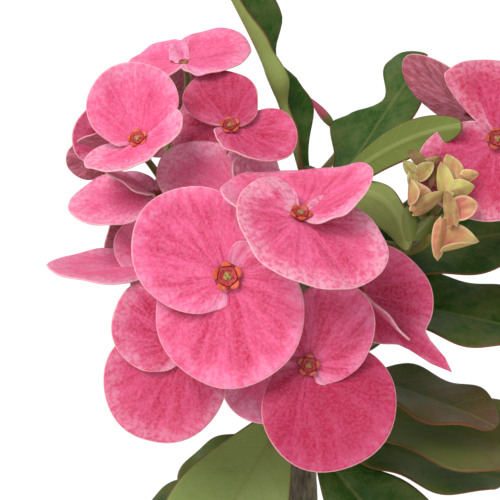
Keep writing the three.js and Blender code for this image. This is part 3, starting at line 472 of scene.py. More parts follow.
def gather(shells):
    """Several shells as one, each still closed in itself."""
    offsets = np.cumsum([0] + [len(s["points"]) for s in shells[:-1]])
    marks = {}
    for name in shells[0]["marks"]:
        marks[name] = np.concatenate([s["marks"][name] for s in shells])
    return {
        "points": np.concatenate([s["points"] for s in shells]),
        "quads": np.concatenate([s["quads"] + o for s, o in zip(shells, offsets)]),
        "ends": np.concatenate([s["ends"] + o for s, o in zip(shells, offsets)]),
        "marks": marks,
    }


def moved(shell, turn=None, at=(0, 0, 0), size=1):
    """The shell scaled, turned by a frame's columns and shifted."""
    points = shell["points"] * size
    if turn is not None:
        points = points @ turn.T
    return {**shell, "points": points + np.array(at, float)}


def in_plant(shell):
    """A shell made in the head's frame, in the plant's frame."""
    return {**shell, "points": from_head(shell["points"])}


def mesh_of(name, shell):
    """A mesh in metres with the shell's points and faces."""
    mesh = bpy.data.meshes.new(name)
    faces = shell["quads"].tolist() + shell["ends"].tolist()
    mesh.from_pydata((shell["points"] * MM).tolist(), [], faces)
    return mesh


def place(name, shell, materials, slot, node=None, patches=None):
    """Makes the shell an object at the origin, riding with the pot.

    'node' is the solid that it stands for, and 'patches' gives each face's material by number.
    """
    mesh = mesh_of(name, shell)
    for key, value in shell["marks"].items():
        kind, part = ("FLOAT_VECTOR", "vector") if value.ndim == 2 else ("FLOAT", "value")
        mesh.attributes.new(key, kind, "POINT").data.foreach_set(part, value.ravel().astype(np.float32))
    mesh.polygons.foreach_set("use_smooth", np.ones(len(mesh.polygons), bool))
    for material in materials:
        mesh.materials.append(material)
    if patches is not None:
        mesh.polygons.foreach_set("material_index", patches)
    mesh.update()
    piece = bpy.data.objects.new(name, mesh)
    bpy.context.collection.objects.link(piece)
    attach(piece, "root")
    if node:
        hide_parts(node)
    return piece


# ---- paths, tubes and round bodies ------------------------------------------------------------------
def smooth_path(knots, count):
    """Points at equal steps of length on a centripetal Catmull-Rom curve through the knots.

    Each stretch is a cubic whose end tangents come from its neighbours, with knots spaced by the
    square root of the distance between points. An end's missing neighbour is its own mirror.
    """
    p = np.array(knots, float)
    p = np.concatenate([[2 * p[0] - p[1]], p, [2 * p[-1] - p[-2]]])
    gaps = np.sqrt(np.linalg.norm(np.diff(p, axis=0), axis=1))[:, None]
    fine = np.linspace(0, 1, 81)[:, None]
    stretches = []
    for i in range(1, len(p) - 2):
        d0, d1, d2 = gaps[i - 1], gaps[i], gaps[i + 1]
        leave = (p[i] - p[i - 1]) / d0 - (p[i + 1] - p[i - 1]) / (d0 + d1) + (p[i + 1] - p[i]) / d1
        arrive = (p[i + 1] - p[i]) / d1 - (p[i + 2] - p[i]) / (d1 + d2) + (p[i + 2] - p[i + 1]) / d2
        leave, arrive = leave * d1, arrive * d1
        stretches.append(p[i] + leave * fine + (3 * (p[i + 1] - p[i]) - 2 * leave - arrive) * fine**2
                         + (2 * (p[i] - p[i + 1]) + leave + arrive) * fine**3)
    line = np.concatenate([stretches[0]] + [s[1:] for s in stretches[1:]])
    run = np.concatenate([[0], np.cumsum(np.linalg.norm(np.diff(line, axis=0), axis=1))])
    even = np.linspace(0, run[-1], count)
    return np.stack([np.interp(even, run, line[:, k]) for k in range(3)], axis=1)


def path_frames(path):
    """Tangents of a path and two directions square to them.

    The first side is the tangent cross the axis that the path strays towards least, and the
    second is the tangent cross the first.
    """
    along = unit(np.gradient(path, axis=0))
    guide = np.eye(3)[np.argmin(np.abs(along).max(axis=0))]
    side = unit(np.cross(along, guide))
    return along, side, np.cross(along, side)


def on_path(path, share):
    """The point, or direction, at a share of a row of them, in a straight line between two."""
    even = np.linspace(0, 1, len(path))
    return np.array([np.interp(share, even, path[:, k]) for k in range(3)])


def full_turn(count):
    """Bearings at even steps once round, in radians."""
    return np.arange(count) / count * 2 * pi


def spokes(side, up, sides):
    """Directions round each point of a path: the two sides mixed by a bearing's cosine and sine."""
    turn = full_turn(sides)
    return side[:, None] * np.cos(turn)[None, :, None] + up[:, None] * np.sin(turn)[None, :, None]


def tube(path, radius, sides=16, **marks):
    """A tube with rounded ends along a path; 'radius' is one number, one a ring or one a point.

    A point is the path plus the radius times a spoke. Three more rings at each end close it along
    a flat quarter ellipse.
    """
    along, side, up = path_frames(path)
    out = spokes(side, up, sides)
    r = np.asarray(radius, float)
    if r.ndim < 2:
        r = r.reshape(-1, 1)
    r = np.broadcast_to(r, (len(path), sides))
    body = out * r[..., None]
    steps = np.radians([25, 50, 75])[:, None, None]
    first = path[0] - along[0] * r[0].mean() * 0.7 * np.cos(steps) + body[0] * np.sin(steps)
    last = path[-1] + along[-1] * r[-1].mean() * 0.7 * np.cos(steps[::-1]) + body[-1] * np.sin(steps[::-1])
    loops = np.concatenate([first, path[:, None] + body, last])
    grown = {}
    for name, value in marks.items():
        grid = np.asarray(value, float)
        if grid.shape[:2] == (len(path), sides):
            grid = np.concatenate([np.repeat(grid[:1], 3, axis=0), grid, np.repeat(grid[-1:], 3, axis=0)])
        grown[name] = grid
    low = path[0] - along[0] * r[0].mean() * 0.7
    high = path[-1] + along[-1] * r[-1].mean() * 0.7
    return loft(loops, low, high, **grown)


def turned(profile, sides, **marks):
    """A profile of (radius, height) points turned about z. It starts and ends on the axis."""
    profile = np.array(profile, float)
    turn = full_turn(sides)
    ring = np.stack([np.cos(turn), np.sin(turn), np.zeros(sides)], axis=1)
    inner = profile[1:-1]
    loops = ring[None] * inner[:, 0, None, None] + np.array([0, 0, 1]) * inner[:, 1, None, None]
    return loft(loops, (0, 0, profile[0, 1]), (0, 0, profile[-1, 1]), **marks)


def rounded(corners, step, soft_points=6):
    """A profile through corners of (radius, height, softness), with points about 'step' apart.

    A corner with a softness is replaced by the curve (1-t)^2 a + 2t(1-t) corner + t^2 b, where a
    and b lie that far from it along its two sides. It is drawn with 'soft_points' points.
    """
    pieces = [np.array(corners[0][:2], float)[None]]
    for before, (x, y, soft), after in zip(corners, corners[1:], corners[2:]):
        corner = np.array([x, y], float)
        a = corner + unit(np.array(before[:2]) - corner) * soft
        b = corner + unit(np.array(after[:2]) - corner) * soft
        t = np.linspace(0, 1, soft_points if soft else 1)[:, None]
        pieces.append((1 - t) ** 2 * a + 2 * t * (1 - t) * corner + t**2 * b)
    pieces.append(np.array(corners[-1][:2], float)[None])
    line = np.concatenate(pieces)
    filled = []
    for a, b in zip(line, line[1:]):
        count = max(1, int(np.linalg.norm(b - a) / step))
        filled.append(a + (b - a) * (np.arange(count) / count)[:, None])
    return np.concatenate(filled + [line[-1:]])


# ---- bracts -----------------------------------------------------------------------------------------
def bract_outline(row, bearing):
    """Distance from the foot to the rim at a bearing.

    The rim is an ellipse whose centre lies (reach - heel) / 2 ahead of the foot and 'skew' to its
    left, and the distance is the larger root of the quadratic that a ray from the foot meets it by.
    """
    half = row["width"] / 2
    long = (row["reach"] + row["heel"]) / 2
    centre = (row["reach"] - row["heel"]) / 2
    x, y = np.cos(bearing), np.sin(bearing)
    a = (x / long) ** 2 + (y / half) ** 2
    b = -2 * (centre * x / long**2 + row["skew"] * y / half**2)
    c = (centre / long) ** 2 + (row["skew"] / half) ** 2 - 1
    return (-b + np.sqrt(np.maximum(b * b - 4 * a * c, 0))) / (2 * a)


def bract_height(row, x, y, seed):
    """Height of a bract's face over its flat plane.

    A dish that grows with the square of the distance from the foot, an end that turns up, sides
    that lift, a keel from which both halves rise straight, waves along the rim and, between them,
    faint creases that fan out from the foot.
    """
    r = np.hypot(x, y)
    bearing = np.arctan2(y, x)
    share = r / bract_outline(row, bearing)
    height = row["cup"] * (r / row["reach"]) ** 2
    height += row["bend"] * np.maximum(x / row["reach"], 0) ** 2
    height += row["arch"] * (y / (row["width"] / 2)) ** 2
    height += row["keel"] * (np.hypot(y, 0.15) - 0.15) / (row["width"] / 2)
    height += row["lift"] * np.maximum(y / (row["width"] / 2), 0) ** 2
    height += row["ripple"] * share**3 * np.sin(row["waves"] * bearing)
    folds = np.sin(9 * bearing + seed) + 0.7 * np.sin(14 * bearing + 2.3 * seed)
    folds += 0.4 * np.sin(4 * bearing)
    return height + row["crease"] * share**1.5 * folds


def bract_shell(row, at, thickness, seed, rows=111, around=36, **marks):
    """Closed shell of one bract in the frame of its table.

    Bearing runs round the foot, drawn closer at both ends: b = span (1 - (1 - |k|)^1.5). A loop at
    each bearing goes from the rim back under the blade to the foot and out again over it, at the
    share (1 + cos) / 2 of the way. Lobes are rounded by the factor sqrt(1 - (1 - e)^2), where e is
    the angle left before the notch over the lobe's own angle. The shell's half thickness falls to
    nothing at the rim along a quarter circle.
    """
    k = np.linspace(-1, 1, rows)
    span = np.radians(180 - row["notch"] / 2 + row["lap"] * np.sign(k))
    bearing = span * np.sign(k) * (1 - (1 - np.abs(k)) ** 1.5)
    left = np.clip((span - np.abs(bearing)) / radians(row["lobe"]), 0, 1)
    lobe = np.sqrt(1 - (1 - left) ** 2)
    rim = bract_outline(row, bearing)
    rim = rim * (1 + 0.010 * np.sin(3 * bearing + seed) + 0.006 * np.sin(8 * bearing + 1.7 * seed))
    rim = rim * (1 + row["point"] * np.exp(-(np.abs(bearing / row["sharp"]) ** row["taper"])))
    turn = full_turn(around)
    share = (1 + np.cos(turn)) / 2
    reach = (rim - row["foot"]) * lobe
    r = row["foot"] + reach[:, None] * share
    x, y = r * np.cos(bearing)[:, None], r * np.sin(bearing)[:, None]
    z = bract_height(row, x, y, seed)
    e = 0.05
    slope_x = (bract_height(row, x + e, y, seed) - bract_height(row, x - e, y, seed)) / (2 * e)
    slope_y = (bract_height(row, x, y + e, seed) - bract_height(row, x, y - e, seed)) / (2 * e)
    facing = unit(np.stack([-slope_x, -slope_y, np.ones_like(z)], axis=-1))
    edge = np.minimum(reach[:, None] * (1 - share), r * (span - np.abs(bearing))[:, None])
    near = np.clip(edge / (thickness * 0.8), 0, 1)
    half = thickness / 2 * np.sqrt(1 - (1 - near) ** 2) * np.clip(-6 * np.sin(turn), -1, 1)
    points = np.stack([x, y, z], axis=-1) + facing * (half - BRACT_DEPTH)[..., None]
    points = points @ blade_axes(row["turn"], row["lean"], row["roll"]).T + np.array(at, float)
    ray = np.stack([np.broadcast_to(np.cos(bearing)[:, None], r.shape),
                    np.broadcast_to(np.sin(bearing)[:, None], r.shape), r / rim.max()], axis=-1)
    under = np.broadcast_to((np.sin(turn) > 0).astype(float), r.shape)
    return loft(points[1:-1], points[0].mean(axis=0), points[-1].mean(axis=0), edge=edge[1:-1],
                ray=ray[1:-1], under=under[1:-1], seed=seed, **marks)


def bloom_axis(bloom):
    """The way a bloom faces: its own axis, or the mean of its bracts' upward directions."""
    if "axis" in bloom:
        return unit(np.array(bloom["axis"], float))
    ups = [blade_axes(b["turn"], b["lean"], b["roll"])[:, 2] for b in bloom["bracts"]]
    return unit(np.sum(ups, axis=0))


def number_of(name):
    """bloom_07 is number 7, and each bloom's number seeds what varies on it."""
    return int(name.split("_")[1])


# ---- the eye of a bloom -----------------------------------------------------------------------------
EYE_PARTS = ("gland", "collar", "cup", "heart", "dot")


def gland_shell(bearing, ring=2.95, wide=1.42, deep=0.68, tall=0.62, level=1.75):
    """One nectar gland: a flattened ball bent round the ring, with a groove along its top.

    A point (x along the ring, y across it, z up) of the ball goes to radius ring + y and to the
    bearing less x / ring. The groove sinks the top by a bell that is narrow across the gland.
    """
    def bent(polar, turn):
        fat = np.sin(polar) ** 0.7
        x = wide * fat * np.cos(turn)
        y = deep * fat * np.sin(turn)
        groove = 0.24 * np.exp(-((y / 0.3) ** 2) - (x / 0.95) ** 4)
        z = tall * np.cos(polar) - np.where(polar < pi / 2, groove, 0) - 0.12 * (x / wide) ** 2
        radius = ring + y + 0.1 * np.cos(x * 2.1)
        a = bearing - x / ring
        return np.stack([radius * np.cos(a), radius * np.sin(a), level + z + 0.25 * y], axis=-1)

    polar = np.linspace(pi, 0, 12)[:, None]
    points = bent(np.clip(polar, 1e-6, pi - 1e-6), full_turn(20)[None])
    return loft(points[1:-1], points[0].mean(axis=0), points[-1].mean(axis=0))


def fluted(profile, sides, swell, lobes=5, phase=0):
    """A profile turned about z whose radius swells 'lobes' times on the way round, by 'swell'."""
    body = turned(profile, sides)
    p = body["points"]
    bearing = np.arctan2(p[:, 1], p[:, 0])
    grow = 1 + swell * np.cos(lobes * (bearing - phase)) * np.clip(np.hypot(p[:, 0], p[:, 1]), 0, 1)
    return {**body, "points": p * np.stack([grow, grow, np.ones(len(p))], axis=1)}


def ball(centre, radius, rings=5, sides=8):
    """A small round body."""
    polar = np.linspace(pi, 0, rings)
    profile = np.stack([np.sin(polar), np.cos(polar)], axis=1) * radius
    return moved(turned(profile, sides), at=centre)


def dots(count, ring, level, radius, start):
    """Small balls at even steps round a ring."""
    turns = [radians(start + 360 / count * k) for k in range(count)]
    return [("dot", ball((ring * cos(a), ring * sin(a), level), radius)) for a in turns]


def eye_shell(spin, seed):
    """The eye in its own frame: neck, crimson collar, five glands, fringed cup and green heart.

    Also gives each face's number in EYE_PARTS, which is the number of its material.
    """
    draw = seeded(seed)
    parts = []
    for k in range(5):
        bearing = radians(spin + 72 * k + 9 * (draw() - 0.5))
        parts.append(("gland", gland_shell(bearing, wide=1.36 + 0.16 * draw())))
    collar = [(0, -2), (1.2, -2), (1.45, -1), (2.4, 0.3), (3.2, 1.0), (3.42, 1.28), (3.2, 1.45),
              (2.5, 1.5), (0, 1.4)]
    collar = rounded([(r, z, 0.15) for r, z in collar], 0.45, 4)
    parts.append(("collar", fluted(collar, 40, 0.035, phase=radians(spin))))
    cup = [(0, 0.9), (1.7, 0.9), (2.15, 1.6), (2.28, 2.2), (2.12, 2.32), (1.75, 1.85), (1.2, 1.55),
           (0, 1.5)]
    cup = rounded([(r, z, 0.12) for r, z in cup], 0.35, 4)
    parts.append(("cup", fluted(cup, 40, 0.05, phase=radians(spin + 36))))
    heart = [(0, 1.3), (1.0, 1.3), (1.12, 1.8), (0.85, 2.25), (0.3, 2.42), (0, 2.36)]
    heart = rounded([(r, z, 0.2) for r, z in heart], 0.25, 4)
    parts.append(("heart", fluted(heart, 24, 0.14, lobes=3, phase=radians(spin))))
    parts += dots(3, 0.55, 2.3, 0.2, spin + 60) + dots(5, 1.5, 1.85, 0.17, spin + 36)
    shell = gather([part for _, part in parts])
    numbers = [np.full(len(part[faces]), EYE_PARTS.index(name))
               for faces in ("quads", "ends") for name, part in parts]
    return shell, np.concatenate(numbers)


# ---- leaves -----------------------------------------------------------------------------------------
def eased(u, knots):
    """Value at u of a curve through knots of (place, value).

    Between two knots it goes the share 3t^2 - 2t^3 of the way, so it is level at each of them.
    """
    at, value = np.array(knots, float).T
    k = np.clip(np.searchsorted(at, u, side="right") - 1, 0, len(at) - 2)
    t = np.clip((u - at[k]) / (at[k + 1] - at[k]), 0, 1)
    return value[k] + (value[k + 1] - value[k]) * t * t * (3 - 2 * t)


def leaf_half_width(row, u, t):
    """Half of a leaf's width at the share u of its length, on the left where t is positive.

    It rises from 'base' of the full width as a power of a quarter sine up to the belly, and
    closes towards the tip as sqrt(1 - z^(2.2 tip)). The side's own factor scales it.
    """
    quarter = pi / 2 * np.clip(u / row["belly"], 0, 1)
    rise = row["base"] + (1 - row["base"]) * np.sin(quarter) ** row["wedge"]
    z = np.clip((u - row["belly"]) / (1 - row["belly"]), 0, 1)
    factor = np.where(t < 0, eased(u, row["right"]), eased(u, row["left"]))
    return row["width"] / 2 * rise * np.sqrt(np.maximum(0, 1 - z ** (2.2 * row["tip"]))) * factor


def leaf_rib(row, u):
    """The midrib at the shares u of its length: points, left sides and upward directions.

    Its direction turns left by 'sweep' and down by 'arch' in proportion to u, and its points are
    the running mean of that direction times the length.
    """
    forward, left, up = blade_axes(row["turn"], row["lean"], row["roll"]).T
    fine = np.linspace(0, 1, 97)
    droop, swing = -radians(row["arch"]) * fine[:, None], radians(row["sweep"]) * fine[:, None]
    along = (forward * np.cos(swing) + left * np.sin(swing)) * np.cos(droop) + up * np.sin(droop)
    side = left * np.cos(swing) - forward * np.sin(swing)
    steps = (along[1:] + along[:-1]) / 2 * row["length"] / 96
    line = np.concatenate([[np.zeros(3)], np.cumsum(steps, axis=0)])
    rise = np.cross(along, side)
    inside = np.clip(u, 0, 1)
    drawn = []
    for track in (line, side, rise):
        drawn.append(np.stack([np.interp(inside, fine, track[:, k]) for k in range(3)], axis=-1))
    drawn[0] = drawn[0] + along[0] * (np.minimum(u, 0) * row["length"])[..., None]
    return drawn


def leaf_face(row, u, t):
    """Points of a leaf's face at the share u of its length and t of its half width, left positive.

    Each half leaves the rib at the fold angle and rolls on by its curl, so it follows an arc of
    circle of that angle. Its margin waves with the square of t.
    """
    line, side, rise = leaf_rib(row, u)
    half = leaf_half_width(row, u, t)
    g = np.abs(t)
    bend = np.where(t < 0, radians(row["curl"][0]), radians(row["curl"][1]))
    bend = np.where(np.abs(bend) < 1e-4, 1e-4, bend)
    fold = radians(row["fold"])
    out = (np.sin(fold + bend * g) - sin(fold)) / bend
    up = (cos(fold) - np.cos(fold + bend * g)) / bend
    beat = np.sin(2 * pi * row["waves"] * u + row["phase"] + np.where(t < 0, 0, 1.3))
    wave = row["wave"] * g * g * beat * np.minimum(1, half / (row["width"] * 0.3))
    return line + side * (np.sign(t) * out * half)[..., None] + rise * (up * half + wave)[..., None]


def leaf_shell(row, thickness, rows=56, around=48):
    """Closed shell of one leaf, whose foot runs on a little into the wood that carries it.

    Loops cross the leaf at shares u of its length that crowd towards the tip as a sine does. On a
    loop t is a cosine, so points crowd towards both margins. The upper face has a channel over
    the rib and the lower one a keel, both bell shaped and fading to the tip, and faint swellings
    between the side veins.
    """
    s = np.linspace(0, 1, rows)
    u = -0.02 + 1.02 * np.sin(pi / 2 * s)
    turn = full_turn(around)
    uu, tt = np.meshgrid(u, np.cos(turn), indexing="ij")
    e = 1e-3
    points = leaf_face(row, uu, tt)
    inner = np.clip(uu, e, 1 - 3 * e)
    low_t, high_t = np.clip(tt - 0.02, -1, 1), np.clip(tt + 0.02, -1, 1)
    du = leaf_face(row, inner + e, tt) - leaf_face(row, inner - e, tt)
    dt = leaf_face(row, inner, high_t) - leaf_face(row, inner, low_t)
    facing = unit(np.cross(du, dt))
    half = leaf_half_width(row, uu, tt)
    across = half * tt
    length_left = (1 - uu) * row["length"]
    edge = np.minimum(half * (1 - np.abs(tt)), np.maximum(length_left, 0))
    near = np.clip(edge / (thickness * 0.7), 0, 1)
    level = np.sqrt(1 - (1 - near) ** 2) * np.clip(6 * np.sin(turn), -1, 1)
    rib = np.exp(-((across / 0.8) ** 2)) * np.clip(length_left / 12, 0, 1)
    upper = np.sin(turn) > 0
    slant = uu * row["length"] - np.abs(across) * 0.75
    inland = np.clip(np.abs(across) / 3, 0, 1) * np.clip(edge / 3, 0, 1)
    quilt = 0.05 * np.cos(2 * pi * slant / 5.5) * inland
    depth = thickness / 2 * level
    depth = depth + np.where(upper, -0.22 * rib, -0.42 * rib) * np.abs(level) + quilt
    points = points + facing * (depth - LEAF_DEPTH)[..., None] + np.array(row["at"], float)
    spot = np.stack([uu * row["length"], across, np.zeros_like(uu)], axis=-1)
    under = np.broadcast_to(np.where(upper, 0.0, 1.0), uu.shape)
    flush = np.clip(row["bronze"] + row["flush"] * np.clip(uu * 1.6 - 0.6, 0, 1), 0, 1)
    return loft(points[:-1], points[0].mean(axis=0), points[-1].mean(axis=0), edge=edge[:-1],
                spot=spot[:-1], under=under[:-1], bronze=flush[:-1], olive=row["olive"])


# ---- stem, thorns and stalks ------------------------------------------------------------------------
def stem_radius(share):
    """Radius of the bare stem at a share of its length: a straight taper."""
    return STEM_RADII[0] + (STEM_RADII[1] - STEM_RADII[0]) * share


def leaf_feet():
    """Height, drop and bearing of each leaf's foot, where no thorn grows."""
    feet = []
    for row in FRONT_LEAVES.values():
        x, y, z = from_head(row["at"])
        feet.append((z, THORN_FREE["front"], np.arctan2(y, x)))
    for z, turn, *_ in STEM_LEAVES.values():
        feet.append((z, THORN_FREE["stem"], radians(turn)))
    return feet


def stem_leaf(z, turn, lean, roll, length, width, arch):
    """The leaf table's row for a leaf of STEM_LEAVES, with its foot just off the wood."""
    foot, top = STEM_PATH[0][2], STEM_PATH[-1][2]
    share = (z - foot) / (top - foot)
    x, y, _ = on_path(smooth_path(STEM_PATH, PATH_POINTS), share)
    away = stem_radius(share) + GAP + 0.1
    at = (x + away * cos(radians(turn)), y + away * sin(radians(turn)), z)
    return leaf(at, turn, lean, roll, length, width, arch=arch, flush=0.35)


def thorn_roots():
    """Root, direction and length of each thorn, in a spiral up the stem.

    A thorn close above a leaf's foot, or within its drop below it, on the same side, is left out.
    """
    draw = seeded(THORNS["seed"])
    path = smooth_path(STEM_PATH, PATH_POINTS)
    along = path_frames(path)[0]
    feet = leaf_feet()
    roots = []
    for k in range(THORNS["count"]):
        t = THORNS["first"] + (THORNS["last"] - THORNS["first"]) * (k + 0.5) / THORNS["count"]
        centre = on_path(path, t)
        tangent = unit(on_path(along, t))
        ring = radians(k * THORNS["step"] + 30 * (draw() - 0.5))
        side = np.array([cos(ring), sin(ring), 0.25 + 0.3 * draw()])
        side = unit(side - tangent * (side @ tangent) * 0.6)
        long = 7 + 4 * draw()
        root = centre + side * stem_radius(t)
        blocked = False
        for top, drop, bearing in feet:
            off = abs(np.arctan2(sin(ring - bearing), cos(ring - bearing)))
            near = top - drop < root[2] < top + THORN_FREE["above"]
            blocked |= bool(near and off < THORN_FREE["angle"])
        if not blocked:
            roots.append((root, side, long))
    return roots


def thorn_shell(root, side, long, seed, rings=18, sides=12):
    """One thorn: a slim cone on a swollen foot, a little bent, with its root in the wood.

    Its radius falls to the tip as the 0.9th power of the share that is left, with a bell of
    0.5 mm added at the wood.
    """
    s = np.linspace(0, 1, rings)[:, None]
    reach = s * (long + THORN_ROOT) - THORN_ROOT
    sag = np.cross(side, [0, 0, 1.0]) * 0.5 * np.sin(seed) + np.array([0, 0, -0.6])
    path = root + side * reach + sag * s**2 * (1 - s)
    radius = 0.72 * (1 - s[:, 0]) ** 0.9 + 0.5 * np.exp(-((reach[:, 0] / 0.9) ** 2)) + 0.03
    return tube(path, radius, sides, tip=np.broadcast_to(s, (rings, sides)))


def stem_shell(roots, rings=380, sides=40):
    """The old stem: a tapering tube with long wrinkles, a knob under each thorn and leaf scars.

    Knobs and scars are bells of the distance from their centres. A scar sits beside and above
    its thorn and is a low, wide pad with a sunk middle. Where the branch leaves, a bell along the
    stem swells that side.
    """
    path = smooth_path(STEM_PATH, rings)
    _, side, up = path_frames(path)
    out = spokes(side, up, sides)
    share = np.linspace(0, 1, len(path))[:, None]
    base = stem_radius(share)
    skin = path[:, None] + out * base[..., None]
    grow = 0.13 * relief(skin * [1, 1, 0.16], 1.1, 1) + 0.16 * relief(skin * [1, 1, 0.5], 3.2, 2)
    grow += 0.06 * relief(skin, 0.7, 3)
    height = share * STEM_LONG + STEM_PATH[0][2]
    branch_side = out @ unit(np.array([1, 1, 0.0])) > 0
    grow += 0.35 * np.exp(-(((height - BRANCH_PATH[0][2]) / 6) ** 2)) * branch_side
    scar = np.zeros(skin.shape[:2])
    for number, (root, way, _) in enumerate(roots):
        sideways = unit(np.cross(way, [0, 0, 1.0])) * (2.4 if number % 2 else -2.4)
        middle = root + sideways * 0.9 + np.array([0, 0, 1.9])
        to_knob = np.linalg.norm(skin - root, axis=-1)
        to_scar = np.linalg.norm((skin - middle) * [1, 1, 1.5], axis=-1)
        grow += 0.55 * np.exp(-((to_knob / 1.25) ** 2))
        grow += 0.32 * np.exp(-((to_scar / 1.5) ** 4)) - 0.2 * np.exp(-((to_scar / 0.6) ** 2))
        scar = np.maximum(scar, np.exp(-((to_scar / 1.45) ** 6)))
    young = np.broadcast_to(np.clip((share - 0.72) / 0.2, 0, 1), scar.shape)
    return tube(path, base + grow * (1 - 0.6 * young), sides, scar=scar, young=young)


def branch_shell(rings=130, sides=28):
    """The side branch, swollen where it leaves the stem and ringed by faint leaf marks."""
    path = smooth_path(BRANCH_PATH, rings)
    share = np.linspace(0, 1, len(path))
    radius = BRANCH_RADII[0] + (BRANCH_RADII[1] - BRANCH_RADII[0]) * share
    radius = radius + 0.9 * np.exp(-((share / 0.12) ** 2)) + 0.1 * np.cos(share * 58)
    turn = full_turn(sides)
    ring = np.stack([3 * np.cos(turn), 3 * np.sin(turn), 0 * turn], axis=-1)
    grow = 0.1 * relief(path[:, None] * 0.3 + ring, 1.1, 5)
    young = np.broadcast_to(np.clip((share - 0.2) / 0.5, 0, 1)[:, None], grow.shape)
    return tube(path, radius[:, None] + grow, sides, scar=0, young=young)


def stalk_tube(knots, thick, thin, count, sides=14):
    """A fleshy stalk through its knots, with slight swellings and a taper from thick to thin."""
    path = smooth_path(knots, count)
    share = np.linspace(0, 1, count)
    radius = thick + (thin - thick) * share + 0.05 * np.sin(share * 17 + thick * 9)
    return tube(path, radius, sides, share=np.broadcast_to(share[:, None], (count, sides)))


def knot_ball(centre, radius):
    """The swelling where stalks fork."""
    shell = ball(centre, radius, rings=13, sides=18)
    return {**shell, "marks": {"share": np.full(len(shell["points"]), 0.3)}}


def cyme_shell(foot, boughs):
    """A forked flower stalk in the head's frame.

    A stout foot runs from the wood to the first knot, boughs run on to the other knots, and from
    each knot a thin stalk bends to every bloom that it carries and ends in line with its axis.
    """
    first = boughs[0][0]
    parts = [stalk_tube([to_head(foot[0]), to_head(foot[1]), first], 1.5, 1.45, 40),
             knot_ball(first, 1.75)]
    for knot, numbers in boughs:
        if knot != first:
            parts += [stalk_tube([first, knot], 1.2, 1.1, 24), knot_ball(knot, 1.4)]
        for number in numbers:
            bloom = BLOOMS[f"bloom_{number:02d}"]
            axis = bloom_axis(bloom)
            tip = np.array(bloom["at"]) - axis * (EYE_NECK * bloom.get("eye", 1))
            back = tip - axis * 5
            parts.append(stalk_tube([knot, back, tip], 0.85, 0.9, 34, sides=12))
    return gather(parts)


# ---- young head and closed bud ----------------------------------------------------------------------
def young_bracts(thickness):
    """All keeled bracts of the young head, in the head's frame."""
    shells = [bract_shell(row, row["at"], thickness, number, rows=61, around=28, tone=row["tone"])
              for number, row in enumerate(HOODS)]
    return gather(shells)


def young_stalks():
    """The young head's stalks, each with a small round cup from which its bracts rise."""
    fork = np.array(YOUNG_STALK[-1])
    parts = [stalk_tube(YOUNG_STALK, 1.5, 1.35, 90, sides=18), knot_ball(fork, 1.75)]
    for foot in HOOD_FEET:
        low = (fork + foot) / 2 - [0, 0, 1]
        parts.append(stalk_tube([fork, low, foot], 1.0, 1.05, 26, sides=14))
        parts.append(knot_ball(foot, 1.35))
    return gather(parts)


def lone_bud_shell():
    """A closed bud: two bracts clasped over each other, turned as one spindle.

    The spindle swells twice on the way round and twists by a third of a turn from foot to tip,
    so the overlapping margin shows as a slanting ridge.
    """
    foot = np.array(LONE_BUD_STALK[-1])
    axis = unit(np.array(LONE_BUD["to"]) - foot)
    r, long = LONE_BUD["radius"], LONE_BUD["length"]
    share = np.linspace(0, 1, 40)
    girth = r * np.sin(pi * share**0.72) ** 0.75 * (1 - 0.1 * share)
    body = turned(np.stack([girth, share * long - 0.6], axis=1), 36)
    p = body["points"]
    bearing = np.arctan2(p[:, 1], p[:, 0]) + 2.1 * p[:, 2] / long
    step = (bearing / pi) % 1
    ridge = 1 - 0.09 * np.clip(1 - step / 0.12, 0, 1) + 0.05 * step
    body["points"] = p * np.stack([ridge, ridge, np.ones(len(p))], axis=1)
    body["marks"] = {"share": np.clip((p[:, 2] + 0.6) / long, 0, 1)}
    return moved(body, upright_to(axis), foot)


# ---- pot and soil -----------------------------------------------------------------------------------
def wall_at(z):
    """Outer radius of the pot's leaning wall at a height."""
    return POT_FOOT + (POT_TOP - RIM_STEP - POT_FOOT) * z / POT_HEIGHT


def inner_wall_at(z):
    """Inner radius of the pot at a height: a straight line from its floor to 2 mm under its top."""
    low = wall_at(POT_FLOOR) - POT_WALL
    return low + (POT_TOP - RIM_THICK - low) * (z - POT_FLOOR) / (POT_HEIGHT - 2 - POT_FLOOR)


def pot_shell():
    """The clay pot: its section turned about z, with fine turning lines and slight unevenness."""
    band = POT_HEIGHT - RIM_BAND
    corners = [(0, 0, 0), (POT_FOOT, 0, 1.5), (wall_at(band), band, 0.8), (POT_TOP, band, 1.3),
               (POT_TOP, POT_HEIGHT, 2.2), (POT_TOP - RIM_THICK, POT_HEIGHT, 1.8),
               (wall_at(POT_FLOOR) - POT_WALL, POT_FLOOR, 0.5), (0, POT_FLOOR, 0)]
    body = turned(rounded(corners, 1.0), 128)
    p = body["points"]
    lines = 0.07 * relief(p * [0, 0, 1], 1.6, 4) + 0.10 * relief(p, 13, 5)
    lines = (lines - 0.16) * np.clip(np.hypot(p[:, 0], p[:, 1]) / 30, 0, 1) * (p[:, 2] > 0.5)
    away = unit(p * [1, 1, 0])
    return {**body, "points": p + away * lines[:, None]}


def soil_level(x, y):
    """Height of the soil: a low crown with lumps of 7 mm and crumbs of 2.6 and 1.2 mm."""
    spot = np.stack([x, y, np.zeros_like(x)], axis=-1)
    share = np.hypot(x, y) / inner_wall_at(SOIL_TOP)
    lumps = 0.55 * relief(spot, 7, 6) + 0.42 * np.abs(relief(spot, 2.6, 7))
    lumps += 0.2 * relief(spot, 1.2, 8)
    return SOIL_TOP + SOIL_CROWN * (1 - share**2) * 0.9 + lumps - 0.1


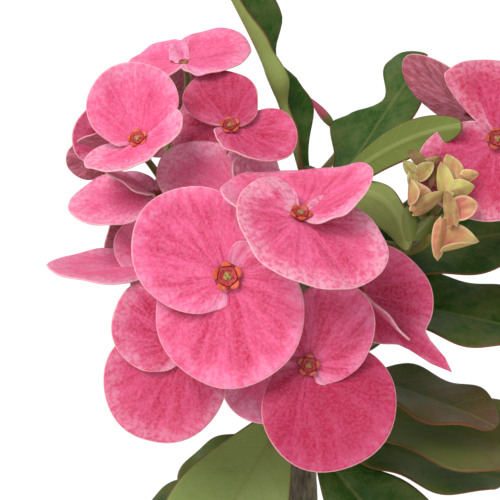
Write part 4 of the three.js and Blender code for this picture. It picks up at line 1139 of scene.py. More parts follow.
def soil_shell(rings=84, sides=220):
    """The soil: a flat foot and a wall inside the pot, and a fine crumbly top."""
    edge = inner_wall_at(SOIL_TOP) - 0.5
    foot = inner_wall_at(POT_FLOOR) - 1
    turn = full_turn(sides)
    ring = np.stack([np.cos(turn), np.sin(turn)], axis=-1)
    low = POT_FLOOR + GAP
    wall = [(foot * 0.5, low), (foot, low), (foot + 2, low + 12), (edge - 1, SOIL_TOP - 6)]
    loops = [np.concatenate([ring * r, np.full((sides, 1), z)], axis=1) for r, z in wall]
    for r in edge * np.sqrt(np.linspace(1, 0.0004, rings)):
        x, y = (ring * r).T
        loops.append(np.stack([x, y, soil_level(x, y)], axis=1))
    top = soil_level(np.zeros(1), np.zeros(1))[0]
    return loft(np.array(loops), (0, 0, low), (0, 0, top))


def scattered(count, sizes, flat, seed):
    """Loose bits on the soil: small uneven balls of 14 points, each turned and stretched its own way.

    Places are even over the soil's area, but none lie at the stem. 'flat' squeezes them.
    """
    rng = np.random.default_rng(seed)
    base = turned(np.stack([np.sin([0, 1.05, 2.1, pi]), -np.cos([0, 1.05, 2.1, pi])], axis=1), 6)
    points = base["points"][None] * rng.uniform(0.72, 1.15, (count, len(base["points"]), 1))
    size = rng.uniform(*sizes, (count, 1, 1)) * rng.uniform(0.6, 1.4, (count, 1, 3))
    points = points * size * [1, 1, flat]
    tilt = rng.uniform(-0.5, 0.5, count)
    spin = rng.uniform(0, 2 * pi, count)
    zero, one = np.zeros(count), np.ones(count)
    about_x = np.array([[one, zero, zero], [zero, np.cos(tilt), -np.sin(tilt)],
                        [zero, np.sin(tilt), np.cos(tilt)]])
    about_z = np.array([[np.cos(spin), -np.sin(spin), zero], [np.sin(spin), np.cos(spin), zero],
                        [zero, zero, one]])
    frames = np.einsum("ijn,jkn->nik", about_z, about_x)
    points = np.einsum("nij,npj->npi", frames, points)
    least, most = 7.5, inner_wall_at(SOIL_TOP) - 3
    away = np.sqrt(rng.uniform((least / most) ** 2, 1, count)) * most
    bearing = rng.uniform(0, 2 * pi, count)
    x, y = away * np.cos(bearing), away * np.sin(bearing)
    z = soil_level(x, y) + size[:, 0, 2] * flat * 0.35
    points = points + np.stack([x, y, z], axis=1)[:, None]
    jump = np.arange(count)[:, None, None] * len(base["points"])
    tone = np.repeat(rng.uniform(0, 1, count), len(base["points"]))
    return {"points": points.reshape(-1, 3), "quads": (base["quads"] + jump).reshape(-1, 4),
            "ends": (base["ends"] + jump).reshape(-1, 3), "marks": {"tone": tone}}


# ---- wiring of materials ----------------------------------------------------------------------------
class Wiring:
    """Adds nodes to one tree. Each value is a number, a colour or another node's output."""

    def __init__(self, tree):
        self.tree = tree

    def feed(self, socket, value):
        """Links an output to a socket, or sets the socket's own value."""
        if isinstance(value, bpy.types.NodeSocket):
            self.tree.links.new(value, socket)
        elif socket.type == "RGBA" and len(value) == 3:
            socket.default_value = (*value, 1)
        else:
            socket.default_value = value

    def node(self, kind, values=None, output=0, **settings):
        """A new node with its settings and inputs, as one of its outputs."""
        made = self.tree.nodes.new(kind)
        for name, value in settings.items():
            setattr(made, name, value)
        for socket, value in (values or {}).items():
            self.feed(made.inputs[socket], value)
        return made.outputs[output]

    def math(self, operation, a, b=0.0, clamp=False):
        """One arithmetic step."""
        return self.node("ShaderNodeMath", {0: a, 1: b}, operation=operation, use_clamp=clamp)

    def times(self, a, b):
        """The product of two values."""
        return self.math("MULTIPLY", a, b)

    def sum_of(self, *terms):
        """The clamped sum of terms, each a number or an (output, factor) pair."""
        total = 0.0
        for term in terms:
            if isinstance(term, tuple):
                total = self.node("ShaderNodeMath", {0: term[0], 1: term[1], 2: total},
                                  operation="MULTIPLY_ADD")
            else:
                total = self.math("ADD", total, term)
        return self.math("ADD", total, 0.0, clamp=True)

    def span(self, value, low, high, start=0.0, end=1.0):
        """The value's place between low and high, smoothly, as a number between start and end."""
        return self.node("ShaderNodeMapRange", {0: value, 1: low, 2: high, 3: start, 4: end},
                         interpolation_type="SMOOTHSTEP")

    def blend(self, share, a, b):
        """Colour a with the share of colour b laid over it."""
        return self.node("ShaderNodeMix", {0: share, 6: a, 7: b}, output=2, data_type="RGBA")

    def split(self, vector):
        """The three parts of a vector."""
        made = self.tree.nodes.new("ShaderNodeSeparateXYZ")
        self.feed(made.inputs[0], vector)
        return made.outputs[:]

    def mark(self, name, output="Fac"):
        """A value stored on the mesh."""
        return self.node("ShaderNodeAttribute", output=output, attribute_name=name)

    def here(self):
        """Object coordinates, in metres."""
        return self.node("ShaderNodeTexCoord", output="Object")

    def group(self, tree, values):
        """A group's node with its inputs, as its only output."""
        return self.node("ShaderNodeGroup", values, node_tree=tree)

    def mottle(self, place, size, low=0.35, high=0.65):
        """The mask of the Mottle group."""
        return self.group(mottle_group(), {"Place": place, "Size": size, "Low": low, "High": high})

    def rays(self, ray, seed, count, breaks, low=0.3, high=0.7):
        """The mask of the Rays group."""
        return self.group(rays_group(), {"Ray": ray, "Seed": seed, "Count": count, "Breaks": breaks,
                                         "Low": low, "High": high})


def node_group(name, inputs, output, build):
    """A shader node group. 'inputs' holds (name, kind, default) and 'build' wires the output."""
    if name in bpy.data.node_groups:
        return bpy.data.node_groups[name]
    tree = bpy.data.node_groups.new(name, "ShaderNodeTree")
    for socket, kind, value in inputs:
        made = tree.interface.new_socket(name=socket, in_out="INPUT", socket_type="NodeSocket" + kind)
        if value is not None:
            made.default_value = value
    tree.interface.new_socket(name=output[0], in_out="OUTPUT", socket_type="NodeSocket" + output[1])
    start = tree.nodes.new("NodeGroupInput")
    end = tree.nodes.new("NodeGroupOutput")
    tree.links.new(build(Wiring(tree), start.outputs), end.inputs[0])
    return tree


def mottle_group():
    """Cloudy mask: noise of a feature size in millimetres, spread between two levels."""
    def build(w, given):
        scale = w.math("DIVIDE", 1 / MM, given["Size"])
        noise = w.node("ShaderNodeTexNoise", {"Vector": given["Place"], "Scale": scale, "Detail": 3.0,
                                              "Roughness": 0.55})
        return w.span(noise, given["Low"], given["High"])

    return node_group("Mottle", [("Place", "Vector", None), ("Size", "Float", 2.0), ("Low", "Float", 0.35),
                                 ("High", "Float", 0.65)], ("Mask", "Float"), build)


def rim_group():
    """Mask of the band along a blade's rim, from the distance to it in millimetres."""
    def build(w, given):
        share = w.math("DIVIDE", given["Edge"], given["Width"])
        return w.span(share, 0.35, 1.0, 1.0, 0.0)

    return node_group("Rim band", [("Edge", "Float", 0.0), ("Width", "Float", 0.3)],
                      ("Mask", "Float"), build)


def rays_group():
    """Streaks that fan out from a blade's foot: noise on the bearing's cosine and sine, which
    changes fast round the foot and, by 'Breaks', more slowly away from it."""
    def build(w, given):
        squeeze = w.node("ShaderNodeCombineXYZ", {0: given["Count"], 1: given["Count"], 2: given["Breaks"]})
        spread = w.node("ShaderNodeVectorMath", {0: given["Ray"], 1: squeeze}, operation="MULTIPLY")
        shift = w.node("ShaderNodeCombineXYZ", {0: given["Seed"], 1: 0.0, 2: given["Seed"]})
        place = w.node("ShaderNodeVectorMath", {0: spread, 1: shift}, operation="ADD")
        noise = w.node("ShaderNodeTexNoise", {"Vector": place, "Scale": 1.0, "Detail": 3.0,
                                              "Roughness": 0.6, "Distortion": 0.25})
        return w.span(noise, given["Low"], given["High"])

    return node_group("Rays", [("Ray", "Vector", None), ("Seed", "Float", 0.0), ("Count", "Float", 7.0),
                               ("Breaks", "Float", 1.6), ("Low", "Float", 0.3), ("High", "Float", 0.7)],
                      ("Mask", "Float"), build)


def pebble_group():
    """Height of a pebbled skin: rounded cells of a size in millimetres with finer grain over them."""
    def build(w, given):
        scale = w.math("DIVIDE", 1 / MM, given["Size"])
        cells = w.node("ShaderNodeTexVoronoi", {"Vector": given["Place"], "Scale": scale}, feature="F1")
        noise = w.node("ShaderNodeTexNoise", {"Vector": given["Place"], "Scale": scale, "Detail": 4.0})
        round_off = w.math("SUBTRACT", 1.0, cells)
        return w.math("ADD", round_off, noise)

    return node_group("Pebbled skin", [("Place", "Vector", None), ("Size", "Float", 0.5)],
                      ("Height", "Float"), build)


def plain_material(name, roughness, **sockets):
    """A material, its wiring and its shader, with the shader's constant values set."""
    material = bpy.data.materials.new(name)
    material.use_nodes = True
    shader = material.node_tree.nodes["Principled BSDF"]
    shader.inputs["Roughness"].default_value = roughness
    for socket, value in sockets.items():
        shader.inputs[socket.replace("_", " ")].default_value = value
    return material, Wiring(material.node_tree), shader


def bump(w, height, depth):
    """A normal from a height, with the depth in millimetres that a height of 1 stands for."""
    return w.node("ShaderNodeBump", {"Height": height, "Distance": depth * MM})


# ---- materials --------------------------------------------------------------------------------------
def bract_material(s):
    """Pink pebbled skin: deeper in the middle and along fanned streaks, paler towards the margin
    and on the lobes, with a thin light rim and a dull underside."""
    material, w, shader = plain_material("bract skin", 0.5, Subsurface_Weight=0.08, Subsurface_Scale=0.0008,
                                         Specular_IOR_Level=0.16)
    here, ray, edge = w.here(), w.mark("ray", "Vector"), w.mark("edge")
    seed, age, frost = w.mark("seed"), w.mark("age"), w.mark("frost")
    ahead, _, share = w.split(ray)
    rays = w.rays(ray, seed, 3.5, 1.2, 0.38, 0.62)
    veins = w.rays(ray, seed, 22.0, 3.0, 0.5, 0.7)
    dashes = w.rays(ray, w.math("ADD", seed, 17.0), 9.0, 4.0, 0.4, 0.64)
    streaks = w.rays(ray, w.math("ADD", seed, 40.0), 16.0, 7.0, 0.38, 0.68)
    cloud = w.mottle(here, 7.0, 0.34, 0.66)
    patch = w.mottle(here, 1.1, 0.36, 0.66)
    grain = w.mottle(here, 0.7, 0.36, 0.66)
    middle = w.times(w.span(share, 0.05, 0.3), w.span(edge, 0.5, 6.5))
    # The age term pulls the colour towards rose: partly age, partly painted shade.
    deep = w.sum_of((middle, 0.45), (rays, 0.5), (dashes, 0.36), (cloud, 0.2), (age, 0.7), -0.66)
    skin = w.blend(deep, s.pink[:], s.rose[:])
    skin = w.blend(w.times(veins, w.span(share, 0.1, 1.0, 0.42, 0.1)), skin, s.rose[:])
    margin = w.span(edge, 7.5, 0.5)
    lobe = w.span(ahead, 0.5, -0.5)
    worn = w.times(frost, margin)
    # The age term here pales bracts whose age value is below zero: painted light on blooms in shade.
    light = w.sum_of((margin, 0.62), (lobe, 0.4), (streaks, 0.34), (patch, 0.26), (cloud, -0.35),
                     (rays, -0.25), (worn, 0.25), (age, -0.35), -0.24)
    skin = w.blend(w.times(light, 0.9), skin, s.mauve[:])
    skin = w.blend(w.times(grain, 0.22), skin, s.mauve[:])
    spots = w.times(w.span(patch, 0.6, 0.0), w.sum_of((worn, 0.18), (light, 0.18), 0.04))
    skin = w.blend(spots, skin, s.rose[:])
    skin = w.blend(w.times(w.times(worn, patch), 0.4), skin, s.edge[:])
    # Deeper crimson by the age value: partly age, partly painted shade.
    skin = w.blend(w.times(age, 0.6), skin, shade(150, 24, 60))
    cover = w.blend(w.times(streaks, 0.35), s.back[:], s.mauve[:])
    cover = w.blend(w.times(veins, 0.3), cover, s.rose[:])
    skin = w.blend(w.times(w.mark("under"), 0.85), skin, cover)
    band = w.group(rim_group(), {"Edge": edge, "Width": 0.3})
    skin = w.blend(w.times(band, 0.55), skin, s.edge[:])
    w.feed(shader.inputs["Base Color"], skin)
    w.feed(shader.inputs["Roughness"], w.span(grain, 0.0, 1.0, 0.42, 0.56))
    pebbles = w.group(pebble_group(), {"Place": here, "Size": 0.6})
    height = w.sum_of((pebbles, 0.35), (veins, -0.25), (patch, 0.2), 0.2)
    w.feed(shader.inputs["Normal"], bump(w, height, 0.2))
    return material


def eye_materials(s):
    """One material for each of EYE_PARTS: orange glands, crimson collar, cup, heart and dots."""
    made = []
    looks = {
        "gland": (s.gland, 0.32, 0.35, shade(246, 142, 84)),
        "collar": (shade(128, 18, 36), 0.5, 0.5, s.cup),
        "cup": (s.cup, 0.4, 0.4, shade(236, 116, 122)),
        "heart": (s.heart, 0.4, 0.4, shade(206, 150, 96)),
        "dot": (shade(132, 26, 52), 0.35, 0.2, s.rose),
    }
    for name in EYE_PARTS:
        base, roughness, share, other = looks[name]
        material, w, shader = plain_material(f"eye {name}", roughness, Subsurface_Weight=0.1,
                                             Subsurface_Scale=0.0008)
        here = w.here()
        patch = w.mottle(here, 0.8)
        skin = w.blend(w.times(patch, share), base[:], other[:])
        # Darker crimson by the bloom's age value: partly age, partly painted shade.
        skin = w.blend(w.times(w.mark("age"), 0.6), skin, shade(126, 24, 34))
        w.feed(shader.inputs["Base Color"], skin)
        height = w.group(pebble_group(), {"Place": here, "Size": 0.25})
        w.feed(shader.inputs["Normal"], bump(w, height, 0.05))
        made.append(material)
    return made


def bud_material(s):
    """Young bracts: pale yellow with each one's own share of salmon, brown and green, deepest
    inside near the foot, with light margins, brown tips and a darker line along the middle. The
    brown share is partly painted shade on bracts that lie in shadow."""
    material, w, shader = plain_material("young bract", 0.45, Subsurface_Weight=0.1, Subsurface_Scale=0.001,
                                         Specular_IOR_Level=0.3)
    here, ray, tone = w.here(), w.mark("ray", "Vector"), w.mark("tone", "Vector")
    salmon, dusk_and_shade, leafy = w.split(tone)
    _, side, share = w.split(ray)
    rays = w.rays(ray, w.mark("seed"), 6.0, 1.2)
    cloud = w.mottle(here, 2.4)
    inside = w.math("SUBTRACT", 1.0, w.mark("under"))
    rosy = w.sum_of((salmon, 0.95), (inside, 0.15), (rays, 0.5), (cloud, 0.3), (share, -0.3), -0.26)
    skin = w.blend(rosy, s.pale[:], s.salmon[:])
    foot = w.times(w.span(share, 0.75, 0.1), w.times(inside, salmon))
    skin = w.blend(w.times(foot, 0.95), skin, shade(176, 58, 60))
    skin = w.blend(w.times(w.span(w.mark("edge"), 0.9, 0.2), 0.55), skin, shade(222, 208, 156))
    aside = w.math("ABSOLUTE", side)
    skin = w.blend(w.times(w.span(aside, 0.16, 0.02), 0.45), skin, shade(138, 104, 54))
    skin = w.blend(leafy, skin, s.green[:])
    tip = w.times(w.span(share, 0.7, 1.15), w.sum_of((cloud, 0.4), 0.1))
    # Dusky brown: the bracts' own, and painted shade on bracts that lie in shadow; the brown at the tips is
    # the bracts' own.
    skin = w.blend(w.sum_of((dusk_and_shade, 0.95), tip, (cloud, 0.15), -0.08), skin, shade(104, 46, 26))
    w.feed(shader.inputs["Base Color"], skin)
    height = w.group(pebble_group(), {"Place": here, "Size": 0.4})
    w.feed(shader.inputs["Normal"], bump(w, height, 0.06))
    return material


def closed_bud_material(s, stalk):
    """The closed bud: green at its foot, then pink with a deeper tip."""
    material, w, shader = plain_material("closed bud", 0.42, Subsurface_Weight=0.1, Subsurface_Scale=0.001)
    share = w.mark("share")
    cloud = w.mottle(w.here(), 1.6, 0.3, 0.7)
    skin = w.blend(w.sum_of((w.span(share, 0.26, 0.5), 1.0), (cloud, 0.2), -0.1), stalk, s.pink[:])
    skin = w.blend(w.times(w.span(share, 0.7, 1.0), 0.5), skin, shade(168, 44, 78))
    w.feed(shader.inputs["Base Color"], skin)
    return material


def leaf_material(s):
    """Leathery leaf: satin green above with pale ribs and a red-brown rim, dull and light below."""
    material, w, shader = plain_material("leaf", 0.42, Specular_IOR_Level=0.14)
    here = w.here()
    along, across, _ = w.split(w.mark("spot", "Vector"))
    away = w.math("ABSOLUTE", across)
    cloud = w.mottle(here, 11.0, 0.33, 0.67)
    patch = w.mottle(here, 2.6)
    sway = w.times(w.mottle(here, 6.0, 0.2, 0.8), 1.6)
    slant = w.math("ADD", w.math("SUBTRACT", along, w.times(away, 0.75)), sway)
    wave = w.math("PINGPONG", slant, 2.75)
    side_rib = w.times(w.span(wave, 0.32, 0.0), w.span(away, 0.4, 2.0, 0.4, 1.0))
    mid_rib = w.span(away, 0.75, 0.25)
    ribs = w.math("MAXIMUM", w.times(side_rib, 0.4), mid_rib)
    net = w.node("ShaderNodeTexVoronoi", {"Vector": here, "Scale": 1 / (1.3 * MM)},
                 feature="DISTANCE_TO_EDGE")
    mesh = w.span(net, 0.1, 0.0)
    olive = w.sum_of((w.mark("olive"), 0.9), (cloud, 0.25), (patch, 0.12), -0.15)
    face = w.blend(olive, s.green[:], s.olive[:])
    bronze = w.sum_of((w.mark("bronze"), 0.95), (cloud, 0.25), (patch, 0.15), -0.22)
    face = w.blend(bronze, face, s.bronze[:])
    face = w.blend(w.times(ribs, 0.35), face, shade(122, 124, 68))
    face = w.blend(w.times(mesh, 0.10), face, shade(122, 124, 68))
    below = w.blend(w.times(cloud, 0.35), s.under[:], s.olive[:])
    below = w.blend(w.times(w.mark("olive"), 0.75), below, shade(84, 98, 30))
    below = w.blend(w.times(bronze, 0.4), below, s.bronze[:])
    below = w.blend(w.times(ribs, 0.4), below, shade(156, 160, 98))
    skin = w.blend(w.mark("under"), face, below)
    band = w.group(rim_group(), {"Edge": w.mark("edge"), "Width": 0.42})
    skin = w.blend(w.times(band, 0.8), skin, s.margin[:])
    w.feed(shader.inputs["Base Color"], skin)
    rough = w.sum_of((w.mark("under"), 0.2), (patch, 0.08), 0.36)
    w.feed(shader.inputs["Roughness"], rough)
    height = w.sum_of((ribs, -0.4), (mesh, -0.12), (patch, 0.2), 0.6)
    w.feed(shader.inputs["Normal"], bump(w, height, 0.16))
    return material


def bark_material(s):
    """Weathered stem: grey-brown with dark cracks, beige scars and green young wood at the top."""
    material, w, shader = plain_material("bark", 0.8)
    here = w.here()
    long = w.node("ShaderNodeVectorMath", {0: here, 1: (1, 1, 0.22)}, operation="MULTIPLY")
    streak = w.mottle(long, 1.1, 0.3, 0.7)
    crack = w.mottle(long, 0.7, 0.52, 0.68)
    cloud = w.mottle(here, 6.0)
    skin = w.blend(streak, s.bark[:], shade(146, 134, 112))
    skin = w.blend(w.times(cloud, 0.4), skin, shade(96, 92, 70))
    skin = w.blend(w.times(crack, 0.6), skin, shade(62, 50, 40))
    green = w.sum_of((w.mark("young"), 0.95), (streak, -0.1))
    skin = w.blend(green, skin, s.young[:])
    skin = w.blend(w.times(w.mark("scar"), 0.85), skin, s.scar[:])
    w.feed(shader.inputs["Base Color"], skin)
    height = w.sum_of((streak, 0.4), (crack, -0.5), 0.5)
    w.feed(shader.inputs["Normal"], bump(w, height, 0.3))
    return material


def thorn_material(s):
    """Dry thorn: brown at the foot, greyer up, with a dark point."""
    material, w, shader = plain_material("thorn", 0.55)
    tip = w.mark("tip")
    grain = w.mottle(w.here(), 0.8)
    skin = w.blend(w.times(grain, 0.5), s.thorn[:], shade(128, 112, 94))
    skin = w.blend(w.span(tip, 0.72, 1.0), skin, shade(46, 34, 28))
    w.feed(shader.inputs["Base Color"], skin)
    w.feed(shader.inputs["Normal"], bump(w, grain, 0.08))
    return material


def stalk_material(s):
    """Fleshy flower stalk: yellow-green, flushed red towards the knots."""
    material, w, shader = plain_material("stalk", 0.45, Subsurface_Weight=0.12, Subsurface_Scale=0.001)
    here = w.here()
    cloud = w.mottle(here, 5.0)
    patch = w.mottle(here, 1.0)
    skin = w.blend(w.times(patch, 0.3), s.stalk[:], shade(158, 162, 84))
    flush = w.sum_of((cloud, 0.5), (w.mark("share"), 0.2), -0.1)
    skin = w.blend(flush, skin, shade(150, 98, 66))
    w.feed(shader.inputs["Base Color"], skin)
    w.feed(shader.inputs["Normal"], bump(w, patch, 0.06))
    return material


def clay_material(s):
    """Fired clay: warm and mottled, with turning lines, pores and lime where water has dried."""
    material, w, shader = plain_material("fired clay", 0.85)
    here = w.here()
    flat = w.node("ShaderNodeVectorMath", {0: here, 1: (0.12, 0.12, 1)}, operation="MULTIPLY")
    lines = w.mottle(flat, 1.4, 0.3, 0.7)
    cloud = w.mottle(here, 26.0, 0.32, 0.68)
    patch = w.mottle(here, 4.0, 0.4, 0.7)
    pore = w.mottle(here, 0.8, 0.62, 0.72)
    skin = w.blend(w.times(lines, 0.3), s.clay[:], shade(206, 132, 98))
    skin = w.blend(w.times(patch, 0.25), skin, shade(168, 90, 62))
    _, _, level = w.split(here)
    damp = w.span(level, 0.030, 0.004)
    top = w.span(level, 0.078, 0.104)
    lime = w.sum_of((cloud, 0.5), (patch, 0.3), (damp, 0.35), (top, 0.25), -0.52)
    skin = w.blend(lime, skin, s.chalk[:])
    skin = w.blend(w.times(pore, 0.5), skin, shade(120, 62, 44))
    w.feed(shader.inputs["Base Color"], skin)
    height = w.sum_of((lines, 0.3), (pore, -0.5), (patch, 0.15), 0.5)
    w.feed(shader.inputs["Normal"], bump(w, height, 0.25))
    return material


def soil_material(s):
    """Peaty mix: dark and matt with fibres and lighter crumbs."""
    material, w, shader = plain_material("soil", 0.95)
    here = w.here()
    crumb = w.mottle(here, 1.6, 0.4, 0.62)
    fine = w.mottle(here, 0.5, 0.5, 0.7)
    skin = w.blend(w.times(crumb, 0.5), s.soil[:], shade(88, 66, 48))
    skin = w.blend(w.times(fine, 0.35), skin, s.chip[:])
    w.feed(shader.inputs["Base Color"], skin)
    height = w.sum_of((crumb, 0.5), (fine, 0.4))
    w.feed(shader.inputs["Normal"], bump(w, height, 0.5))
    return material


def bits_material(name, dark, light, roughness):
    """Loose bits whose colour runs from dark to light by each bit's own tone."""
    material, w, shader = plain_material(name, roughness)
    grain = w.mottle(w.here(), 0.9)
    skin = w.blend(w.sum_of((w.mark("tone"), 0.8), (grain, 0.25)), dark, light)
    w.feed(shader.inputs["Base Color"], skin)
    w.feed(shader.inputs["Normal"], bump(w, grain, 0.2))
    return material


# ---- operators --------------------------------------------------------------------------------------
class MakePot(Operator):
    """Turn the clay pot and cut its three drain holes"""
    bl_idname = "crown_plant.pot"
    bl_label = "Pot"
    bl_options = {"REGISTER", "UNDO"}

    def execute(self, context):
        settings = context.scene.crown_pot
        piece = place("pot_clay", pot_shell(), [clay_material(settings)], "clay", "pot")
        rod = turned([(0, -POT_FLOOR), (DRAIN_RADIUS, -POT_FLOOR), (DRAIN_RADIUS, POT_FLOOR),
                      (0, POT_FLOOR)], 40)
        holes = []
        for k in range(3):
            turn = radians(90 + 120 * k)
            at = (DRAIN_RING * cos(turn), DRAIN_RING * sin(turn), POT_FLOOR / 2)
            holes.append(moved(rod, at=at))
        drill = bpy.data.objects.new("drain_holes", mesh_of("drain_holes", gather(holes)))
        context.collection.objects.link(drill)
        cut = piece.modifiers.new("drain", "BOOLEAN")
        cut.operation, cut.object, cut.solver = "DIFFERENCE", drill, "EXACT"
        graph = context.evaluated_depsgraph_get()
        whole = piece.data
        piece.data = bpy.data.meshes.new_from_object(piece.evaluated_get(graph), depsgraph=graph)
        piece.modifiers.clear()
        bpy.data.objects.remove(drill)
        bpy.data.meshes.remove(whole)
        return {"FINISHED"}


class MakeSoil(Operator):
    """Fill the pot with soil and strew its loose bits"""
    bl_idname = "crown_plant.soil"
    bl_label = "Soil"
    bl_options = {"REGISTER", "UNDO"}

    def execute(self, context):
        s = context.scene.crown_pot
        place("soil_bed", soil_shell(), [soil_material(s)], "soil", "soil")
        crumbs = bits_material("soil crumbs", s.soil[:], shade(96, 72, 52), 0.95)
        place("soil_crumbs", scattered(s.crumbs, (0.5, 1.3), 0.8, 21), [crumbs], "soil")
        chips = bits_material("bark chips", shade(74, 52, 38), s.chip[:], 0.85)
        place("soil_chips", scattered(s.crumbs // 4, (1.2, 3.0), 0.35, 22), [chips], "soil")
        grit = bits_material("perlite", shade(196, 190, 178), s.grit[:], 0.8)
        place("soil_grit", scattered(s.crumbs // 5, (0.5, 1.2), 0.85, 23), [grit], "soil")
        return {"FINISHED"}


class MakeStem(Operator):
    """Grow the woody stem, its side branch and the thorns"""
    bl_idname = "crown_plant.stem"
    bl_label = "Stem"
    bl_options = {"REGISTER", "UNDO"}

    def execute(self, context):
        s = context.scene.crown_wood
        roots = thorn_roots()
        place("stem_wood", gather([stem_shell(roots), branch_shell()]), [bark_material(s)], "bark", "stem")
        thorns = gather([thorn_shell(*row, seed=k) for k, row in enumerate(roots)])
        place("stem_thorns", thorns, [thorn_material(s)], "bark")
        return {"FINISHED"}


class MakeStalks(Operator):
    """Grow the forked flower stalks"""
    bl_idname = "crown_plant.stalks"
    bl_label = "Flower stalks"
    bl_options = {"REGISTER", "UNDO"}

    def execute(self, context):
        material = stalk_material(context.scene.crown_wood)
        for name, row in CYMES.items():
            shell = in_plant(cyme_shell(row["foot"], row["boughs"]))
            place(f"{name}_green", shell, [material], "stalk", name)
        return {"FINISHED"}


class MakeBlooms(Operator):
    """Grow every bloom's pair of bracts and its eye"""
    bl_idname = "crown_plant.blooms"
    bl_label = "Blooms"
    bl_options = {"REGISTER", "UNDO"}

    def execute(self, context):
        s = context.scene.crown_blooms
        skin = bract_material(s)
        eyes = eye_materials(s)
        for name, bloom in BLOOMS.items():
            number = number_of(name)
            shells = []
            for side, row in enumerate(bloom["bracts"]):
                # The age value that each bract carries is partly age and partly painted shade, and painted
                # light where below zero.
                tone = {key: row.get(key, bloom.get(key, 0)) for key in ("age", "frost")}
                shells.append(bract_shell(row, bloom["at"], s.thickness / MM, number + 0.37 * side, **tone))
            place(f"{name}_bracts", in_plant(gather(shells)), [skin], "bract", name)
            spin = bloom.get("spin", number * 47 % 72)
            shell, patches = eye_shell(spin, number)
            # The eye takes its bloom's age value too: deeper crimson, partly for age and partly as painted
            # shade.
            shell["marks"]["age"] = np.full(len(shell["points"]), float(bloom.get("age", 0)))
            axis = bloom_axis(bloom)
            at = np.array(bloom["at"]) - axis * bloom.get("sink", 0)
            shell = moved(shell, upright_to(axis), at, bloom.get("eye", 1))
            place(f"{name}_eye", in_plant(shell), eyes, "bract", patches=patches)
        return {"FINISHED"}


class MakeLeaves(Operator):
    """Grow the leaves at the front, behind and below"""
    bl_idname = "crown_plant.leaves"
    bl_label = "Leaves"
    bl_options = {"REGISTER", "UNDO"}

    def execute(self, context):
        s = context.scene.crown_leaves
        material = leaf_material(s)
        for name, row in FRONT_LEAVES.items():
            shell = in_plant(leaf_shell(row, s.thickness / MM))
            place(f"{name}_blade", shell, [material], "leaf", name)
        for name, numbers in STEM_LEAVES.items():
            shell = leaf_shell(stem_leaf(*numbers), s.thickness / MM)
            place(f"{name}_blade", shell, [material], "leaf", name)
        return {"FINISHED"}


class MakeYoungHead(Operator):
    """Grow the head of young, half-open flowers"""
    bl_idname = "crown_plant.young_head"
    bl_label = "Young head"
    bl_options = {"REGISTER", "UNDO"}

    def execute(self, context):
        s = context.scene.crown_buds
        bracts = in_plant(young_bracts(s.thickness / MM))
        place("young_head_bracts", bracts, [bud_material(s)], "bud", "young_head")
        stalks = stalk_material(context.scene.crown_wood)
        place("young_head_stalks", in_plant(young_stalks()), [stalks], "stalk")
        return {"FINISHED"}


class MakeLoneBud(Operator):
    """Grow the closed bud and its stalk"""
    bl_idname = "crown_plant.lone_bud"
    bl_label = "Closed bud"
    bl_options = {"REGISTER", "UNDO"}

    def execute(self, context):
        wood = context.scene.crown_wood
        bud = closed_bud_material(context.scene.crown_buds, wood.stalk[:])
        place("lone_bud_body", in_plant(lone_bud_shell()), [bud], "bud", "lone_bud")
        stalk = in_plant(stalk_tube(LONE_BUD_STALK, 1.1, 1.0, 70))
        place("lone_bud_stalk", stalk, [stalk_material(wood)], "stalk")
        return {"FINISHED"}


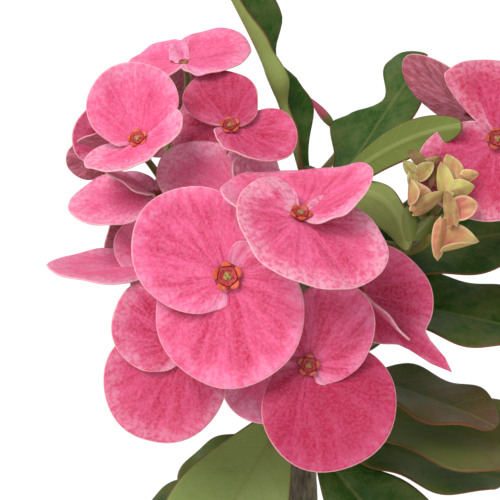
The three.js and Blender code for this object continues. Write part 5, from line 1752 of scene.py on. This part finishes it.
class MakeStage(Operator):
    """Set the pale floor, the soft light and the camera"""
    bl_idname = "crown_plant.stage"
    bl_label = "Stage"
    bl_options = {"REGISTER", "UNDO"}

    def execute(self, context):
        s = context.scene.crown_stage
        half = s.floor_width / 2
        mesh = bpy.data.meshes.new("floor")
        mesh.from_pydata([(-half, -half, 0), (half, -half, 0), (half, half, 0), (-half, half, 0)], [],
                         [(0, 1, 2, 3)])
        material, _, shader = plain_material("pale floor", 0.9)
        shader.inputs["Base Color"].default_value = (*s.floor, 1)
        mesh.materials.append(material)
        floor = bpy.data.objects.new("floor", mesh)
        context.collection.objects.link(floor)

        world = bpy.data.worlds.new("studio")
        context.scene.world = world
        world.use_nodes = True
        w = Wiring(world.node_tree)
        sky = world.node_tree.nodes["Background"]
        sky.inputs["Color"].default_value = (1, 1, 1, 1)
        seen = w.node("ShaderNodeLightPath", output="Is Camera Ray")
        w.feed(sky.inputs["Strength"], w.span(seen, 0.0, 1.0, s.sky, 1.0))

        light = bpy.data.lights.new("key", "SUN")
        light.energy, light.angle = s.key, s.softness
        lamp = bpy.data.objects.new("key", light)
        lamp.location = LIGHT_FROM
        lamp.rotation_euler = (-Vector(lamp.location)).to_track_quat("-Z", "Y").to_euler()
        context.collection.objects.link(lamp)

        lens = bpy.data.cameras.new("camera")
        lens.sensor_width = 36
        lens.lens = lens.sensor_width * CAMERA_AWAY / CAMERA_WIDTH
        camera = bpy.data.objects.new("camera", lens)
        camera.location = Vector(from_head((0, 0, CAMERA_AWAY)) * MM)
        camera.rotation_euler = Euler((pi / 2 - HEAD_TIP, 0, 0))
        context.collection.objects.link(camera)
        context.scene.camera = camera
        context.scene.view_settings.view_transform = "Standard"
        return {"FINISHED"}


class PlantPanel(Panel):
    """Every piece of the plant and what can be changed on it"""
    bl_idname = "VIEW3D_PT_crown_plant"
    bl_label = "Crown of thorns"
    bl_space_type = "VIEW_3D"
    bl_region_type = "UI"
    bl_category = "Plant"

    def draw(self, context):
        for maker in MAKERS:
            self.layout.operator(maker.bl_idname)
        for key, kind in SETTINGS.items():
            box = self.layout.box()
            for name in kind.__annotations__:
                box.prop(getattr(context.scene, key), name)


SETTINGS = {
    "crown_blooms": BloomSettings,
    "crown_buds": BudSettings,
    "crown_leaves": LeafSettings,
    "crown_wood": WoodSettings,
    "crown_pot": PotSettings,
    "crown_stage": StageSettings,
}
MAKERS = (MakePot, MakeSoil, MakeStem, MakeStalks, MakeBlooms, MakeLeaves, MakeYoungHead, MakeLoneBud,
          MakeStage)


def register():
    for kind in (*SETTINGS.values(), *MAKERS, PlantPanel):
        bpy.utils.register_class(kind)
    for key, kind in SETTINGS.items():
        setattr(bpy.types.Scene, key, PointerProperty(type=kind))


def unregister():
    for key in SETTINGS:
        delattr(bpy.types.Scene, key)
    for kind in (PlantPanel, *reversed(MAKERS), *reversed(SETTINGS.values())):
        bpy.utils.unregister_class(kind)


def main():
    """Makes every piece in order."""
    register()
    bpy.ops.crown_plant.pot()
    bpy.ops.crown_plant.soil()
    bpy.ops.crown_plant.stem()
    bpy.ops.crown_plant.stalks()
    bpy.ops.crown_plant.blooms()
    bpy.ops.crown_plant.leaves()
    bpy.ops.crown_plant.young_head()
    bpy.ops.crown_plant.lone_bud()
    bpy.ops.crown_plant.stage()


if __name__ == "__main__":
    main()
